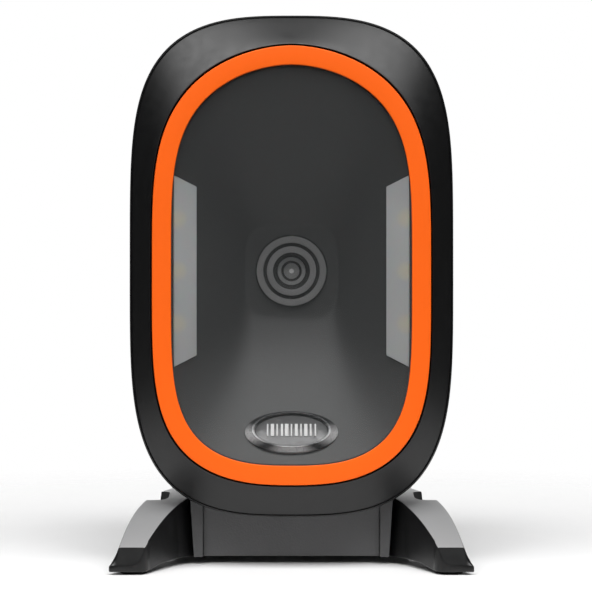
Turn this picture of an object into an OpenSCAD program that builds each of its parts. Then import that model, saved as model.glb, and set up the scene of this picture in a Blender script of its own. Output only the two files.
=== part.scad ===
// Hands-free desktop barcode scanner: an upright rounded head with a lit
// optical funnel behind a clear window, tilting on a low stand with four feet.
// +Z is up, the head looks along -Y, and the origin is on the table under the
// middle of the stand. All sizes are in millimetres.

/* [Head] */
// Width of the flared rim of the head
rim_width = 87.8; // [86.5:0.1:89]
// Height of the top of the rim above the table
rim_top = 149.9; // [149:0.1:151]
// Height of the bottom of the rim above the table
rim_bottom = 13.9; // [13.7:0.1:14.6]
// Distance of the front face of the accent ring from the middle of the stand
face_depth = 38; // [37.9:0.1:38.2]
// Wall thickness of the rear housing
housing_wall = 2.2; // [1.8:0.1:2.4]
// Wall thickness of the optical funnel
funnel_wall = 1.8; // [1.4:0.1:2]

/* [Optics] */
// Height of the lens axis above the table
lens_z = 80.6; // [80:0.1:81]
// Outer radius of the ring round the lens
lens_ring_r = 9.8; // [9:0.1:9.8]
// Thickness of the scan window
window_thickness = 1.4; // [1:0.1:1.4]
// Number of lamps on each side
lamps_per_side = 3; // [1:1:3]

/* [Stand] */
// Width over the tips of the front feet
foot_span = 97; // [95:0.5:99]
// Length of the stand from front to back
stand_length = 88; // [86:1:90]
// Height of the crown of the legs
leg_crown = 18.6; // [18:0.1:19]
// Thickness of the rubber pads below the feet
pad_drop = 0.8; // [0.6:0.1:1]

/* [Hinge] */
// Diameter of the hinge axle
axle_diameter = 5; // [4:0.5:6]
// Radial clearance between the axle and the neck
axle_clearance = 0.05; // [0.02:0.01:0.09]

/* [Hidden] */

$fn = 48;
ring_points = 64;
slack = 0.05;           // gap between pieces that are assembled face to face
touch = 0.02;           // gap under a screw head or a part that sits on a board
through = 1;            // how far a cutter runs past the face it cuts
beyond = 40;            // a length that runs clear of the whole stand
mid_z = 80;             // height of the widest line of the head's outlines

// An outline of the head is [half width, top, bottom, top corner power, top
// end power, bottom corner power, bottom end power, height of its middle].
RIM = [rim_width / 2, rim_top, rim_bottom, 2.93, 4.56, 2.99, 3.96, mid_z];
RING_OUTER = [RIM[0] - 6.3, RIM[1] - 8.65, RIM[2] + 9.1, 1.84, 3.94, 2.55, 4.25, mid_z];
RING_INNER = [RIM[0] - 11.6, RIM[1] - 14, RIM[2] + 14.5, 1.84, 4.24, 2.75, 4.58, mid_z];
HOUSING = [RIM[0] - 2.7, RIM[1] - 3.4, RIM[2] + 8.6, 2.93, 4.56, 2.99, 3.96, mid_z];

// Depths of the layers behind the front face
face_y = -face_depth;
window_y = face_y + 0.8;
gasket_y = window_y + window_thickness;
ledge_y = gasket_y + 0.4;
flange_y = ledge_y + 1.6;
flange_back_y = flange_y + 1.6;
seam_y = face_y + 9.6;
lip_y = seam_y + 2;
lens_plate_y = -8;
lens_plate_t = 1.8;

// Rear housing: depth behind the seam and inset of each ring of its loft, as
// [y, inset at the sides, inset at the top, inset at the bottom]
housing_back_y = 26;
HOUSING_RINGS = [
    [seam_y, 0, 0, 0], [-10, 0.5, 1, 0.3], [4, 1.5, 3, 1.8], [13, 3.6, 7, 5],
    [19, 6.8, 12.5, 9.5], [23, 11.5, 19, 14.5], [25.2, 16.5, 27, 22], [housing_back_y, 22, 36, 31]
];

// Screws that hold the rear housing to the bezel
case_screw_x = 29;
case_screw_z = [38, 124];
case_screw_r = 1.3;
case_screw_head_y = 2;
case_screw_reach = 28;
case_screw_well_r = 3;
case_post_split_y = -22;
case_hole_end_y = -27;

// Optical funnel
FUNNEL_END = [13, lens_z + 13, lens_z - 13, 4, 4, 4, 4, lens_z];
LENS_HOLE = [10, lens_z + 10, lens_z - 10, 2, 2, 2, 2, lens_z];
FLOOR_BEND = [-13, 51];        // pulls the funnel's floor down between its ends

// Lens: radii and depths of the bezel, the barrel and the glass
lens_bezel_front = 1.2;
lens_well_r = 8;
lens_bore_r = 7;
barrel_clear = 0.06;
barrel_front_y = -9;
barrel_back_y = 2.4;
barrel_wall_r = 4.2;
barrel_lip_r = 5.2;
retainer_y = -6.35;
retainer_t = 0.9;
glass_y = -5.3;
glass_t = 2.1;
glass_dome_r = 9;
holder_half = 10;
holder_tube_r = 9;
sensor_chip = [5, 4.5];
sensor_chip_t = 1.1;

// Lamp diffusers: each lies along a side wall of the funnel
wall_mid = [28.7, -30.8];
wall_turn = 46.5;
wall_half = 4.067;
diffuser_half_front = 25.9;
diffuser_half_back = 23;
diffuser_t = 2;
lamp_board_x = 4.6;
lamp_board_t = 1;
lamp_board_half = 29;
lamp_pitch = 14.2;
lamp_size = 3;
lamp_screw_z = 27.6;
lamp_screw_r = 0.8;

// Badge on the floor of the funnel
badge_y = -27.6;
badge_z = 36.6;
badge_lean = 50.2;
badge_half = [12.7, 6.9];
badge_rim_share = [0.85, 0.79];    // outside and inside of the raised rim
badge_rim_h = 1.4;
badge_plate_h = 1;

// Sensor and main boards
sensor_board_y = 4;
sensor_board_t = 1.6;
sensor_half = 16;
sensor_screw = 13;
sensor_hole_y = -4;
main_board_y = 11.6;
main_board_t = 1.6;
main_board_back_y = main_board_y + main_board_t;
main_half_x = 23.4;
main_low_z = 36;
main_high_z = 118;
main_screw_x = 20;
main_screw_z = [57, 112];
small_screw_r = 1;
beeper_z = 104;

// Slots in the rear housing that let the beeper be heard, and the rear label
slot_count = 5;
slot_pitch = 2.8;
slot_half = [7, 0.6];
label_half = 15;
label_low = 62;
label_high = 90;
label_bed = 0.4;

// Cable socket in the back of the head
socket_z = 45;
socket_size = [15.4, 14, 11.6];    // width, depth and height
socket_face_y = 24.6;
jack_size = [11.7, 12, 6.7];

// Hinge
pivot_y = -5;
pivot_z = 11;
barrel_r = 7;
barrel_half = 23.2;
neck_half_x = 20;
neck_half_y = 5;
neck_top_z = 31.5;
neck_flange_t = 2.5;
neck_screw_x = 23.5;
neck_screw_dy = 4;
washer_r = 6.5;
washer_t = 0.9;
axle_r = axle_diameter / 2;
axle_end = 27;

// Stand
half_length = stand_length / 2;
hub_inner = 24.4;
hub_low_z = 2;
hub_floor_t = 1.5;
cheek_foot = 26.8;       // half width over the cheeks at the underside
cheek_draft = 0.065;     // how much wider a cheek gets for each unit of height
cheek_top_z = 19;
cheek_front_y = -23;
hub_back_y = 30;
hub_wall = 2;
panel_y = -21;
panel_t = 2.5;
panel_top_z = 17.5;
mid_wall_y = 8;
cover_z = 14.5;
cover_t = 2;
cover_screw_x = 22;
cover_screw_y = 25;
cover_head_sink = 0.9;   // thickness of the cover left under a screw's head
ballast_half = 21.8;
ballast_low_z = 3.6;
ballast_high_z = 13.6;
leg_fullness = 3.6;
leg_skirt = 1.7;
leg_edge = 0.5;
leg_lean = 2.3;          // how far the outer wall leans out towards the table
toe_radius = 3.5;
toe_top = 7.2;           // height of the edge where the front of a toe ends
toe_lean = 1.2;          // how far that edge lies behind the tip
toe_in = 38;             // inner edge of the front toe
toe_flat = 3;            // length of a toe before its inner edge bends in
front_bend_top = 24;     // length over which the top inner edge runs in to the cheek
front_bend_foot = 20;    // the same at the underside
heel_bend = 20;          // length over which a rear leg's inner edge runs in
heel_in = 2.5;           // distance of the inner edge of a heel from the cheek
toe_out = foot_span / 2;
waist_out = 34.1;        // outer top edge at the middle of a leg
heel_out = 38;
pad_r = 3.5;
pad_t = 1.6;
front_pad = [42.3, 5.5];
rear_pad = [34.8, 6];
notch_x = 34;
notch_y = [-22, -9];
notch_r = 3.5;
leg_screw_r = 1.4;
leg_screw_yz = [[-15.5, 8], [20, 9]];
LEG_STATIONS = [0, toe_lean, 2.2, 3.5, 6, 9, 13, 17, 21, 24, 30, 37];

black = [0.06, 0.06, 0.065];
charcoal = [0.16, 0.16, 0.17];
grey = [0.42, 0.42, 0.43];
orange = [1, 0.43, 0.06];
frosted = [0.62, 0.63, 0.61];
steel = [0.72, 0.73, 0.75];
board_green = [0.05, 0.25, 0.14];

// ---- outlines and lofts ----

function signed_pow(v, e) = sign(v) * pow(abs(v), e);

// The point of outline o at angle t, as [x, z]
function outline_point(o, t) =
    let (up = sin(t) >= 0, side = up ? o[3] : o[5], end = up ? o[4] : o[6])
    [o[0] * signed_pow(cos(t), 2 / side),
     o[7] + (up ? o[1] - o[7] : o[7] - o[2]) * signed_pow(sin(t), 2 / end)];

function outline(o) = [for (i = [0 : ring_points - 1]) outline_point(o, 360 * i / ring_points)];

// Outline o made smaller all round by d, or larger where d is negative
function inset(o, d) = [o[0] - d, o[1] - d, o[2] + d, o[3], o[4], o[5], o[6], o[7]];

function blend(o, p, s) = o + (p - o) * s;

// A ring of 3-D points at depth y
function ring_at(o, y) = [for (p = outline(o)) [p[0], y, p[1]]];

function ring_faces(n, a, b) = [
    for (i = [0 : n - 1])
        let (j = (i + 1) % n)
        each [[a * n + i, a * n + j, b * n + j], [a * n + i, b * n + j, b * n + i]]
];

// Closed solid through rings that run from front to back
module solid_loft(rings) {
    n = len(rings[0]);
    last = len(rings) - 1;
    sides = [for (k = [0 : last - 1]) each ring_faces(n, k, k + 1)];
    caps = [[for (i = [n - 1 : -1 : 0]) i], [for (i = [0 : n - 1]) last * n + i]];
    polyhedron(points = [for (r = rings) each r], faces = concat(sides, caps));
}

// Closed band: the rings run back along the outside and forward along the inside
module band_loft(rings) {
    n = len(rings[0]);
    m = len(rings);
    polyhedron(
        points = [for (r = rings) each r],
        faces = [for (k = [0 : m - 1]) each ring_faces(n, k, (k + 1) % m)]
    );
}

// Flat plate with outline o between two depths
module plate(o, y0, y1) {
    translate([0, y1, 0]) rotate([90, 0, 0]) linear_extrude(y1 - y0) polygon(outline(o));
}

// Round rod along Y, along X and along Z
module rod_y(x, z, r, y0, y1) {
    translate([x, y0, z]) rotate([-90, 0, 0]) cylinder(r = r, h = y1 - y0);
}

module rod_x(y, z, r, x0, x1) {
    translate([x0, y, z]) rotate([0, 90, 0]) cylinder(r = r, h = x1 - x0);
}

module rod_z(x, y, r, z0, z1) {
    translate([x, y, z0]) cylinder(r = r, h = z1 - z0);
}

// Box between two corners
module box(low, high) {
    translate(low) cube(high - low);
}

// Screw pointing along -Z, with the underside of its head at the origin
module screw(r, reach, head_r, head_t) {
    recess = head_r * 0.55;
    recess_w = head_r * 0.24;
    difference() {
        union() {
            translate([0, 0, -reach]) cylinder(r = r, h = reach);
            cylinder(r = head_r, h = head_t);
        }
        for (turn = [0, 90]) {
            rotate([0, 0, turn])
                box([-recess, -recess_w, head_t * 0.45], [recess, recess_w, head_t + through]);
        }
    }
}

module mirrored() {
    children();
    mirror([1, 0, 0]) children();
}

// ---- head: front ----

module case_screw_places() {
    for (x = [-case_screw_x, case_screw_x], z = case_screw_z) translate([x, 0, z]) children();
}

module front_bezel() {
    post_r = 3;
    color(charcoal) difference() {
        union() {
            band_loft([
                ring_at(inset(RING_OUTER, -0.2), face_y),
                ring_at(blend(RING_OUTER, RIM, 0.5), face_y + 3.5),
                ring_at(RIM, face_y + 7.4),
                ring_at(RIM, face_y + 8.6),
                ring_at(inset(RIM, 0.6), seam_y),
                ring_at(inset(HOUSING, housing_wall + 0.15), seam_y),
                ring_at(inset(HOUSING, housing_wall + 0.15), lip_y),
                ring_at(inset(HOUSING, housing_wall + 1.6), lip_y),
                ring_at(inset(HOUSING, housing_wall + 1.6), flange_y),
                ring_at(inset(RING_INNER, -0.3), flange_y),
                ring_at(inset(RING_INNER, -0.3), ledge_y),
                ring_at(inset(RING_OUTER, -0.2), ledge_y)
            ]);
            case_screw_places() rod_y(0, 0, post_r, flange_y - 0.2, case_post_split_y);
        }
        case_screw_places() rod_y(0, 0, case_screw_r + slack, case_hole_end_y, case_post_split_y + through);
    }
}

module accent_ring() {
    rim = inset(RING_OUTER, 0.2);
    color(orange) {
        difference() {
            plate(rim, face_y, ledge_y - slack);
            plate(RING_INNER, face_y - through, window_y + 0.1);
            plate(inset(RING_INNER, -2.8), window_y, ledge_y + through);
        }
    }
}

module scan_window() {
    color([0.1, 0.1, 0.1, 0.35]) plate(inset(RING_INNER, -2.6), window_y + slack, gasket_y);
}

module window_gasket() {
    color(black) difference() {
        plate(inset(RING_INNER, -2.6), gasket_y + slack, ledge_y - slack);
        plate(inset(RING_INNER, -0.6), gasket_y - through, ledge_y + through);
    }
}

// ---- head: optics ----

// Frame on the right-hand wall of the funnel: X points into the wall, Y runs
// back along it and Z is up
module on_wall() {
    translate([wall_mid[0], wall_mid[1], lens_z]) rotate([0, 0, wall_turn]) children();
}

module sensor_screw_places() {
    for (x = [-sensor_screw, sensor_screw], z = [-sensor_screw, sensor_screw])
        translate([x, 0, lens_z + z]) children();
}

module diffuser_shape(grow, x0, x1) {
    front = diffuser_half_front + grow;
    back = diffuser_half_back + grow;
    reach = wall_half + grow;
    translate([x0, 0, 0]) rotate([90, 0, 90]) linear_extrude(x1 - x0)
        polygon([[-reach, -front], [reach, -back], [reach, back], [-reach, front]]);
}

module lamp_board_feet() {
    foot = [3, 1.2];
    for (z = [-lamp_screw_z, lamp_screw_z])
        box([1, -foot[0], z - foot[1]], [lamp_board_x - slack, foot[0], z + foot[1]]);
}

// Depth and height of the funnel's floor at share s of the way to its mouth
function floor_at(s, mouth) =
    pow(1 - s, 2) * [lens_plate_y, FUNNEL_END[2]] + 2 * s * (1 - s) * FLOOR_BEND
    + s * s * [flange_y, mouth[2]];

// Ring of the funnel's wall at share s, moved outwards and back by wall
function funnel_ring(s, wall) =
    let (
        mouth = inset(RING_INNER, 0.1),
        p = floor_at(s, mouth),
        o = blend(FUNNEL_END, mouth, (p[0] - lens_plate_y) / (flange_y - lens_plate_y))
    )
    ring_at(inset([o[0], o[1], p[1], o[3], o[4], o[5], o[6], o[7]], -wall), p[0] + 0.8 * wall);

module optical_funnel() {
    post_r = 2.2;
    shares = [0.2, 0.4, 0.6, 0.8];
    color(charcoal) difference() {
        union() {
            band_loft(concat(
                [
                    ring_at(inset(HOUSING, housing_wall + 2), flange_y + slack),
                    ring_at(inset(HOUSING, housing_wall + 2), flange_back_y),
                    ring_at(inset(RING_INNER, -funnel_wall), flange_back_y)
                ],
                [for (k = [len(shares) - 1 : -1 : 0]) funnel_ring(shares[k], funnel_wall)],
                [
                    ring_at(inset(FUNNEL_END, -funnel_wall), lens_plate_y + lens_plate_t),
                    ring_at(LENS_HOLE, lens_plate_y + lens_plate_t),
                    ring_at(LENS_HOLE, lens_plate_y),
                    ring_at(FUNNEL_END, lens_plate_y)
                ],
                [for (s = shares) funnel_ring(s, 0)],
                [ring_at(inset(RING_INNER, 0.1), flange_y + slack)]
            ));
            sensor_screw_places() rod_y(0, 0, post_r, lens_plate_y + 0.5, sensor_board_y - slack);
            mirrored() on_wall() lamp_board_feet();
        }
        sensor_screw_places()
            rod_y(0, 0, small_screw_r + slack, sensor_hole_y, sensor_board_y + through);
        mirrored() on_wall() {
            diffuser_shape(0.08, -4, lamp_board_x - 0.2);
            for (side = [-1, 1])
                rod_x(0, side * lamp_screw_z, lamp_screw_r + slack, 1.8, lamp_board_x + through);
        }
        case_screw_places() rod_y(0, 0, 3.4, flange_y - through, flange_back_y + 4);
        badge_frame() translate([0, 0, -4]) oval(badge_half * (badge_rim_share[1] + 0.01), 4);
    }
}

module diffuser() {
    on_wall() diffuser_shape(0, 0, diffuser_t);
}

module left_diffuser() {
    color(frosted) mirror([1, 0, 0]) diffuser();
}

module right_diffuser() {
    color(frosted) diffuser();
}

module lamp_board() {
    half = 4.2;
    on_wall() difference() {
        box([lamp_board_x, -half, -lamp_board_half],
            [lamp_board_x + lamp_board_t, half, lamp_board_half]);
        for (side = [-1, 1])
            rod_x(0, side * lamp_screw_z, lamp_screw_r + slack, lamp_board_x - through, lamp_board_x + 3);
    }
}

module left_lamp_board() {
    color(board_green) mirror([1, 0, 0]) lamp_board();
}

module right_lamp_board() {
    color(board_green) lamp_board();
}

module lamps() {
    first = -(lamps_per_side - 1) / 2;
    lamp_y = -1.5;
    lamp_t = 0.9;
    on_wall() for (i = [0 : lamps_per_side - 1]) {
        z = (first + i) * lamp_pitch;
        box([lamp_board_x - lamp_t, lamp_y - lamp_size / 2, z - lamp_size / 2],
            [lamp_board_x - touch, lamp_y + lamp_size / 2, z + lamp_size / 2]);
    }
}

module left_lamps() {
    color([1, 0.93, 0.7]) mirror([1, 0, 0]) lamps();
}

module right_lamps() {
    color([1, 0.93, 0.7]) lamps();
}

module lamp_board_screws() {
    head_x = lamp_board_x + lamp_board_t + touch;
    color(steel) mirrored() on_wall() for (side = [-1, 1])
        translate([head_x, 0, side * lamp_screw_z]) rotate([0, 90, 0])
            screw(lamp_screw_r, head_x - 2, 1.6, 1);
}

module lens_bezel() {
    front = lens_plate_y - lens_bezel_front;
    back = lens_plate_y + lens_plate_t;
    color(grey) difference() {
        rod_y(0, lens_z, lens_ring_r, front, back);
        rod_y(0, lens_z, lens_well_r, front - through, lens_plate_y);
        rod_y(0, lens_z, lens_bore_r, front - through, back + through);
    }
}

// Profile turned round the lens axis: x is the radius and y the depth
module lens_turn() {
    translate([0, 0, lens_z]) rotate([-90, 0, 0]) rotate_extrude() children();
}

module lens_barrel() {
    outer = lens_bore_r - barrel_clear;
    lip = barrel_wall_r - 0.25;
    color(grey) lens_turn() polygon([
        [barrel_lip_r, barrel_front_y], [outer, barrel_front_y], [outer, barrel_back_y],
        [barrel_wall_r, barrel_back_y], [barrel_wall_r, retainer_y],
        [lip, retainer_y], [lip, retainer_y - 0.25]
    ]);
}

module lens_retainer() {
    front = retainer_y + slack;
    back = front + retainer_t;
    outer = barrel_wall_r - slack;
    color(grey) lens_turn()
        polygon([[2.88, front], [outer, front], [outer, back], [2.4, back]]);
}

module front_lens() {
    glass_r = barrel_wall_r - 0.1;
    color([0.2, 0.25, 0.3, 0.5]) intersection() {
        rod_y(0, lens_z, glass_r, glass_y - through, glass_y + glass_t);
        translate([0, glass_y + glass_dome_r, lens_z]) rotate([90, 0, 0]) sphere(r = glass_dome_r);
    }
}

module lens_holder() {
    half = holder_half;
    back = sensor_board_y - slack;
    pocket = sensor_chip + [1, 1];
    color(black) difference() {
        union() {
            rod_y(0, lens_z, holder_tube_r, lens_plate_y + lens_plate_t + 0.2, back);
            box([-half, -1, lens_z - half], [half, back, lens_z + half]);
        }
        rod_y(0, lens_z, lens_bore_r - 0.01, lens_plate_y, barrel_back_y + 0.1);
        box([-pocket[0], barrel_back_y, lens_z - pocket[1]],
            [pocket[0], sensor_board_y + through, lens_z + pocket[1]]);
    }
}

module sensor_board() {
    color(board_green) difference() {
        box([-sensor_half, sensor_board_y, lens_z - sensor_half],
            [sensor_half, sensor_board_y + sensor_board_t, lens_z + sensor_half]);
        sensor_screw_places()
            rod_y(0, 0, small_screw_r + slack, sensor_board_y - through, sensor_board_y + 3);
    }
}

module image_sensor() {
    color(black) box([-sensor_chip[0], sensor_board_y - sensor_chip_t, lens_z - sensor_chip[1]],
        [sensor_chip[0], sensor_board_y - touch, lens_z + sensor_chip[1]]);
}

module sensor_board_screws() {
    head_y = sensor_board_y + sensor_board_t + touch;
    color(steel) sensor_screw_places() translate([0, head_y, 0]) rotate([-90, 0, 0])
        screw(small_screw_r, head_y - sensor_hole_y - 0.5, 2, 1.2);
}

module sensor_ribbon() {
    ribbon_half = 6;
    tape = 0.3;
    y0 = sensor_board_y + sensor_board_t + touch;
    y1 = main_board_y - touch;
    z0 = lens_z + 3;
    z1 = lens_z + 22;
    color([0.75, 0.72, 0.62]) translate([-ribbon_half, 0, 0]) rotate([90, 0, 90])
        linear_extrude(2 * ribbon_half) polygon([
            [y0, z0], [y0 + 1.4, z0], [y0 + 1.4, z0 + 4], [y1 - 1.4, z1 - 4],
            [y1 - 1.4, z1 - 3], [y1, z1 - 3], [y1, z1 + 1], [y1 - 1.4 - tape, z1 + 1],
            [y1 - 1.4 - tape, z1 - 4 + tape], [y0 + 1.4 - tape, z0 + 4 + tape], [y0, z0 + 4]
        ]);
}

// ---- head: electronics ----

module main_screw_places() {
    for (x = [-main_screw_x, main_screw_x], z = main_screw_z) translate([x, 0, z]) children();
}

module main_board() {
    back = main_board_back_y;
    color(board_green) difference() {
        box([-main_half_x, main_board_y, main_low_z], [main_half_x, back, main_high_z]);
        main_screw_places()
            rod_y(0, 0, small_screw_r + slack, main_board_y - through, back + through);
    }
}

module board_part(x, z, width, height, depth) {
    top = main_board_back_y + touch;
    box([x - width / 2, top, z - height / 2], [x + width / 2, top + depth, z + height / 2]);
}

module decoder_chip() {
    color(black) board_part(-4, 84, 14, 14, 1.2);
}

module memory_chip() {
    color(black) board_part(11, 88, 8, 12, 1);
}

module board_capacitors() {
    top = main_board_back_y + touch;
    can_r = 2.6;
    can_h = 5;
    color(steel) for (x = [-14, 14], z = [60, 68]) rod_y(x, z, can_r, top, top + can_h);
}

module main_board_screws() {
    front = main_board_y - touch;
    color(steel) main_screw_places() translate([0, front, 0]) rotate([90, 0, 0])
        screw(small_screw_r, main_board_t + 5, 2, 1.2);
}

module beeper() {
    top = main_board_back_y + touch;
    case_r = 6;
    case_h = 5.5;
    hole_r = 1.2;
    color(black) difference() {
        rod_y(0, beeper_z, case_r, top, top + case_h);
        rod_y(0, beeper_z, hole_r, top + case_h - 2.5, top + case_h + through);
    }
}

module cable_socket() {
    half_w = socket_size[0] / 2;
    half_h = socket_size[2] / 2;
    jack_w = jack_size[0] / 2;
    jack_h = jack_size[2] / 2;
    latch_w = 3.2;
    latch_h = 1.8;
    back = socket_face_y - jack_size[1];
    base = main_board_back_y + touch;
    color(black) difference() {
        box([-half_w, base, socket_z - half_h], [half_w, socket_face_y, socket_z + half_h]);
        box([-jack_w, base + 1.4, socket_z - jack_h],
            [jack_w, socket_face_y + through, socket_z + jack_h]);
        box([-latch_w, back + 4, socket_z - jack_h - latch_h],
            [latch_w, socket_face_y + through, socket_z]);
    }
}

module socket_contacts() {
    pins = 8;
    pitch = 1.02;
    high = socket_z + jack_size[2] / 2 - slack;
    low = main_board_back_y + 1.5;
    pin = [0.2, 7, 1];
    color([0.85, 0.7, 0.3]) for (i = [0 : pins - 1]) {
        x = (i - (pins - 1) / 2) * pitch;
        box([x - pin[0], low, high - pin[2]], [x + pin[0], low + pin[1], high]);
    }
}

// ---- head: rear ----

function housing_ring(k, wall) =
    let (r = HOUSING_RINGS[k])
    [HOUSING[0] - r[1] - wall, HOUSING[1] - r[2] - wall, HOUSING[2] + r[3] + wall,
     HOUSING[3], HOUSING[4], HOUSING[5], HOUSING[6], HOUSING[7]];

module housing_solid(wall, front, back) {
    last = len(HOUSING_RINGS) - 1;
    solid_loft([
        for (k = [0 : last])
            let (y = HOUSING_RINGS[k][0])
            ring_at(housing_ring(k, wall), k == 0 ? y + front : y - back * k / last)
    ]);
}

module neck_screw_places() {
    for (x = [-neck_screw_x, neck_screw_x], dy = [-neck_screw_dy, neck_screw_dy])
        translate([x, pivot_y + dy, 0]) children();
}

module sound_slots() {
    for (i = [0 : slot_count - 1]) {
        z = beeper_z + (i - (slot_count - 1) / 2) * slot_pitch + 0.6;
        box([-slot_half[0], 20, z - slot_half[1]], [slot_half[0], 30, z + slot_half[1]]);
    }
}

module housing_posts() {
    case_post_r = 4.4;
    small_post_r = 2.4;
    case_screw_places() rod_y(0, 0, case_post_r, case_post_split_y + 0.2, housing_back_y);
    main_screw_places() rod_y(0, 0, small_post_r, main_board_back_y + slack, housing_back_y);
    neck_screw_places() rod_z(0, 0, small_post_r, hub_low_z, neck_top_z - slack);
}

module rear_housing() {
    slot_x = neck_half_x + 0.15;
    slot_y = neck_half_y + 0.15;
    hole_x = socket_size[0] / 2 + 0.2;
    hole_z = socket_size[2] / 2 + 0.2;
    color(charcoal) difference() {
        housing_solid(0, 0, 0);
        difference() {
            housing_solid(housing_wall, -through, housing_wall);
            housing_posts();
        }
        case_screw_places() {
            rod_y(0, 0, case_screw_r + 0.3, case_post_split_y - through, case_screw_head_y + through);
            rod_y(0, 0, case_screw_well_r, case_screw_head_y, housing_back_y + through);
        }
        main_screw_places()
            rod_y(0, 0, small_screw_r + slack, main_board_y, main_board_back_y + 5.4);
        neck_screw_places()
            rod_z(0, 0, small_screw_r + slack, neck_top_z - 4.4, neck_top_z + through);
        box([-slot_x, pivot_y - slot_y, 0], [slot_x, pivot_y + slot_y, neck_top_z]);
        box([-hole_x, 16, socket_z - hole_z], [hole_x, 30, socket_z + hole_z]);
        sound_slots();
        box([-label_half, housing_back_y - label_bed, label_low],
            [label_half, housing_back_y + through, label_high]);
    }
}

module rear_label() {
    gap = 0.2;
    film = 0.25;
    y0 = housing_back_y - label_bed + touch;
    color(grey) box([gap - label_half, y0, label_low + gap],
        [label_half - gap, y0 + film, label_high - gap]);
}

module housing_screws() {
    color(steel) case_screw_places() translate([0, case_screw_head_y + touch, 0])
        rotate([-90, 0, 0]) screw(case_screw_r, case_screw_reach, 2.6, 1.8);
}

// ---- badge ----

module badge_frame() {
    translate([0, badge_y, badge_z]) rotate([badge_lean, 0, 0]) children();
}

module oval(half, h) {
    points = 48;
    linear_extrude(h) polygon([
        for (i = [0 : points - 1]) [half[0] * cos(360 * i / points), half[1] * sin(360 * i / points)]
    ]);
}

module badge_bezel() {
    color(charcoal) badge_frame() difference() {
        union() {
            oval(badge_half, 0.7);
            oval(badge_half * badge_rim_share[0], badge_rim_h);
        }
        translate([0, 0, -through]) oval(badge_half * badge_rim_share[1], 4);
    }
}

module badge_plate() {
    color(black) badge_frame() union() {
        translate([0, 0, -1]) oval(badge_half * (badge_rim_share[1] - 0.01), 1.6);
        oval(badge_half * (badge_rim_share[1] - 0.08), badge_plate_h);
    }
}

module badge_emblem() {
    widths = [0.4, 0.9, 0.4, 0.6, 1, 0.4, 0.8, 0.4, 0.9, 0.5, 0.4];
    pitch = 1.3;
    tall = 2;
    raised = 0.2;
    foot = badge_plate_h + touch;
    color("white") badge_frame() for (i = [0 : len(widths) - 1]) {
        x = (i - (len(widths) - 1) / 2) * pitch;
        box([x - widths[i] / 2, -tall, foot], [x + widths[i] / 2, tall, foot + raised]);
    }
}

// ---- hinge ----

module tilt_neck() {
    flange_x = 25.8;
    flange_y_half = 6.8;
    color(charcoal) difference() {
        union() {
            rod_x(pivot_y, pivot_z, barrel_r, -barrel_half, barrel_half);
            box([-neck_half_x, pivot_y - neck_half_y, pivot_z],
                [neck_half_x, pivot_y + neck_half_y, neck_top_z + 1]);
            box([-flange_x, pivot_y - flange_y_half, neck_top_z],
                [flange_x, pivot_y + flange_y_half, neck_top_z + neck_flange_t]);
        }
        rod_x(pivot_y, pivot_z, axle_r + axle_clearance, -beyond, beyond);
        neck_screw_places()
            rod_z(0, 0, small_screw_r + slack, neck_top_z - through, neck_top_z + 5);
    }
}

module neck_screws() {
    head_z = neck_top_z + neck_flange_t + touch;
    color(steel) neck_screw_places() translate([0, 0, head_z])
        screw(small_screw_r, neck_flange_t + 4, 1.9, 1.2);
}

module hinge_axle() {
    color(steel) rod_x(pivot_y, pivot_z, axle_r, -axle_end, axle_end);
}

module washer(x0, x1) {
    difference() {
        rod_x(pivot_y, pivot_z, washer_r, x0, x1);
        rod_x(pivot_y, pivot_z, axle_r + slack, x0 - through, x1 + through);
    }
}

module friction_washers() {
    gap = barrel_half + 0.05;
    color([0.55, 0.45, 0.3]) {
        washer(-gap - washer_t, -gap);
        washer(gap, gap + washer_t / 2);
    }
}

module spring_washer() {
    start = barrel_half + 0.1 + washer_t / 2;
    color(steel) washer(start, start + washer_t / 2 - 0.05);
}

// ---- stand ----

// Half width over the cheeks at height z
function cheek_at(z) = cheek_foot + cheek_draft * (z - hub_low_z);

module cheek_outline() {
    polygon([
        [-cheek_at(hub_low_z), hub_low_z], [cheek_at(hub_low_z), hub_low_z],
        [cheek_at(cheek_top_z), cheek_top_z], [-cheek_at(cheek_top_z), cheek_top_z]
    ]);
}

module cover_screw_places() {
    for (x = [-cover_screw_x, cover_screw_x]) translate([x, cover_screw_y, 0]) children();
}

module hub() {
    floor_z = hub_low_z + hub_floor_t;
    post_r = 2.4;
    back_slope = 14;
    color(charcoal) difference() {
        translate([0, hub_back_y, 0]) rotate([90, 0, 0])
            linear_extrude(hub_back_y - cheek_front_y) cheek_outline();
        box([-hub_inner, cheek_front_y - through, 0],
            [hub_inner, panel_y + panel_t + 0.1, beyond]);
        box([-hub_inner, panel_y, floor_z], [hub_inner, mid_wall_y, beyond]);
        difference() {
            box([-hub_inner, mid_wall_y + hub_wall, floor_z],
                [hub_inner, hub_back_y - hub_wall, beyond]);
            cover_screw_places() rod_z(0, 0, post_r, 0, cover_z - slack);
        }
        box([-hub_inner, mid_wall_y - through, cover_z], [hub_inner, hub_back_y + through, beyond]);
        cover_screw_places() rod_z(0, 0, small_screw_r + slack, cover_z - 5, beyond);
        translate([0, mid_wall_y + hub_wall, cheek_top_z]) rotate([-back_slope, 0, 0])
            box([-beyond, 0, 0], [beyond, beyond, beyond]);
        rod_x(pivot_y, pivot_z, axle_r + slack, -beyond, beyond);
        for (p = leg_screw_yz) rod_x(p[0], p[1], leg_screw_r + slack, -beyond, beyond);
    }
}

module hub_front_panel() {
    hook_x = 16;
    hook_z = hub_low_z + hub_floor_t + 0.05;
    edge = hub_inner - 0.12;
    color(charcoal) union() {
        box([-edge, panel_y, hub_low_z], [edge, panel_y + panel_t, panel_top_z]);
        mirrored()
            box([hook_x, panel_y + 1, hook_z], [hook_x + 4, panel_y + panel_t + 3, hook_z + 2]);
    }
}

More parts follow.
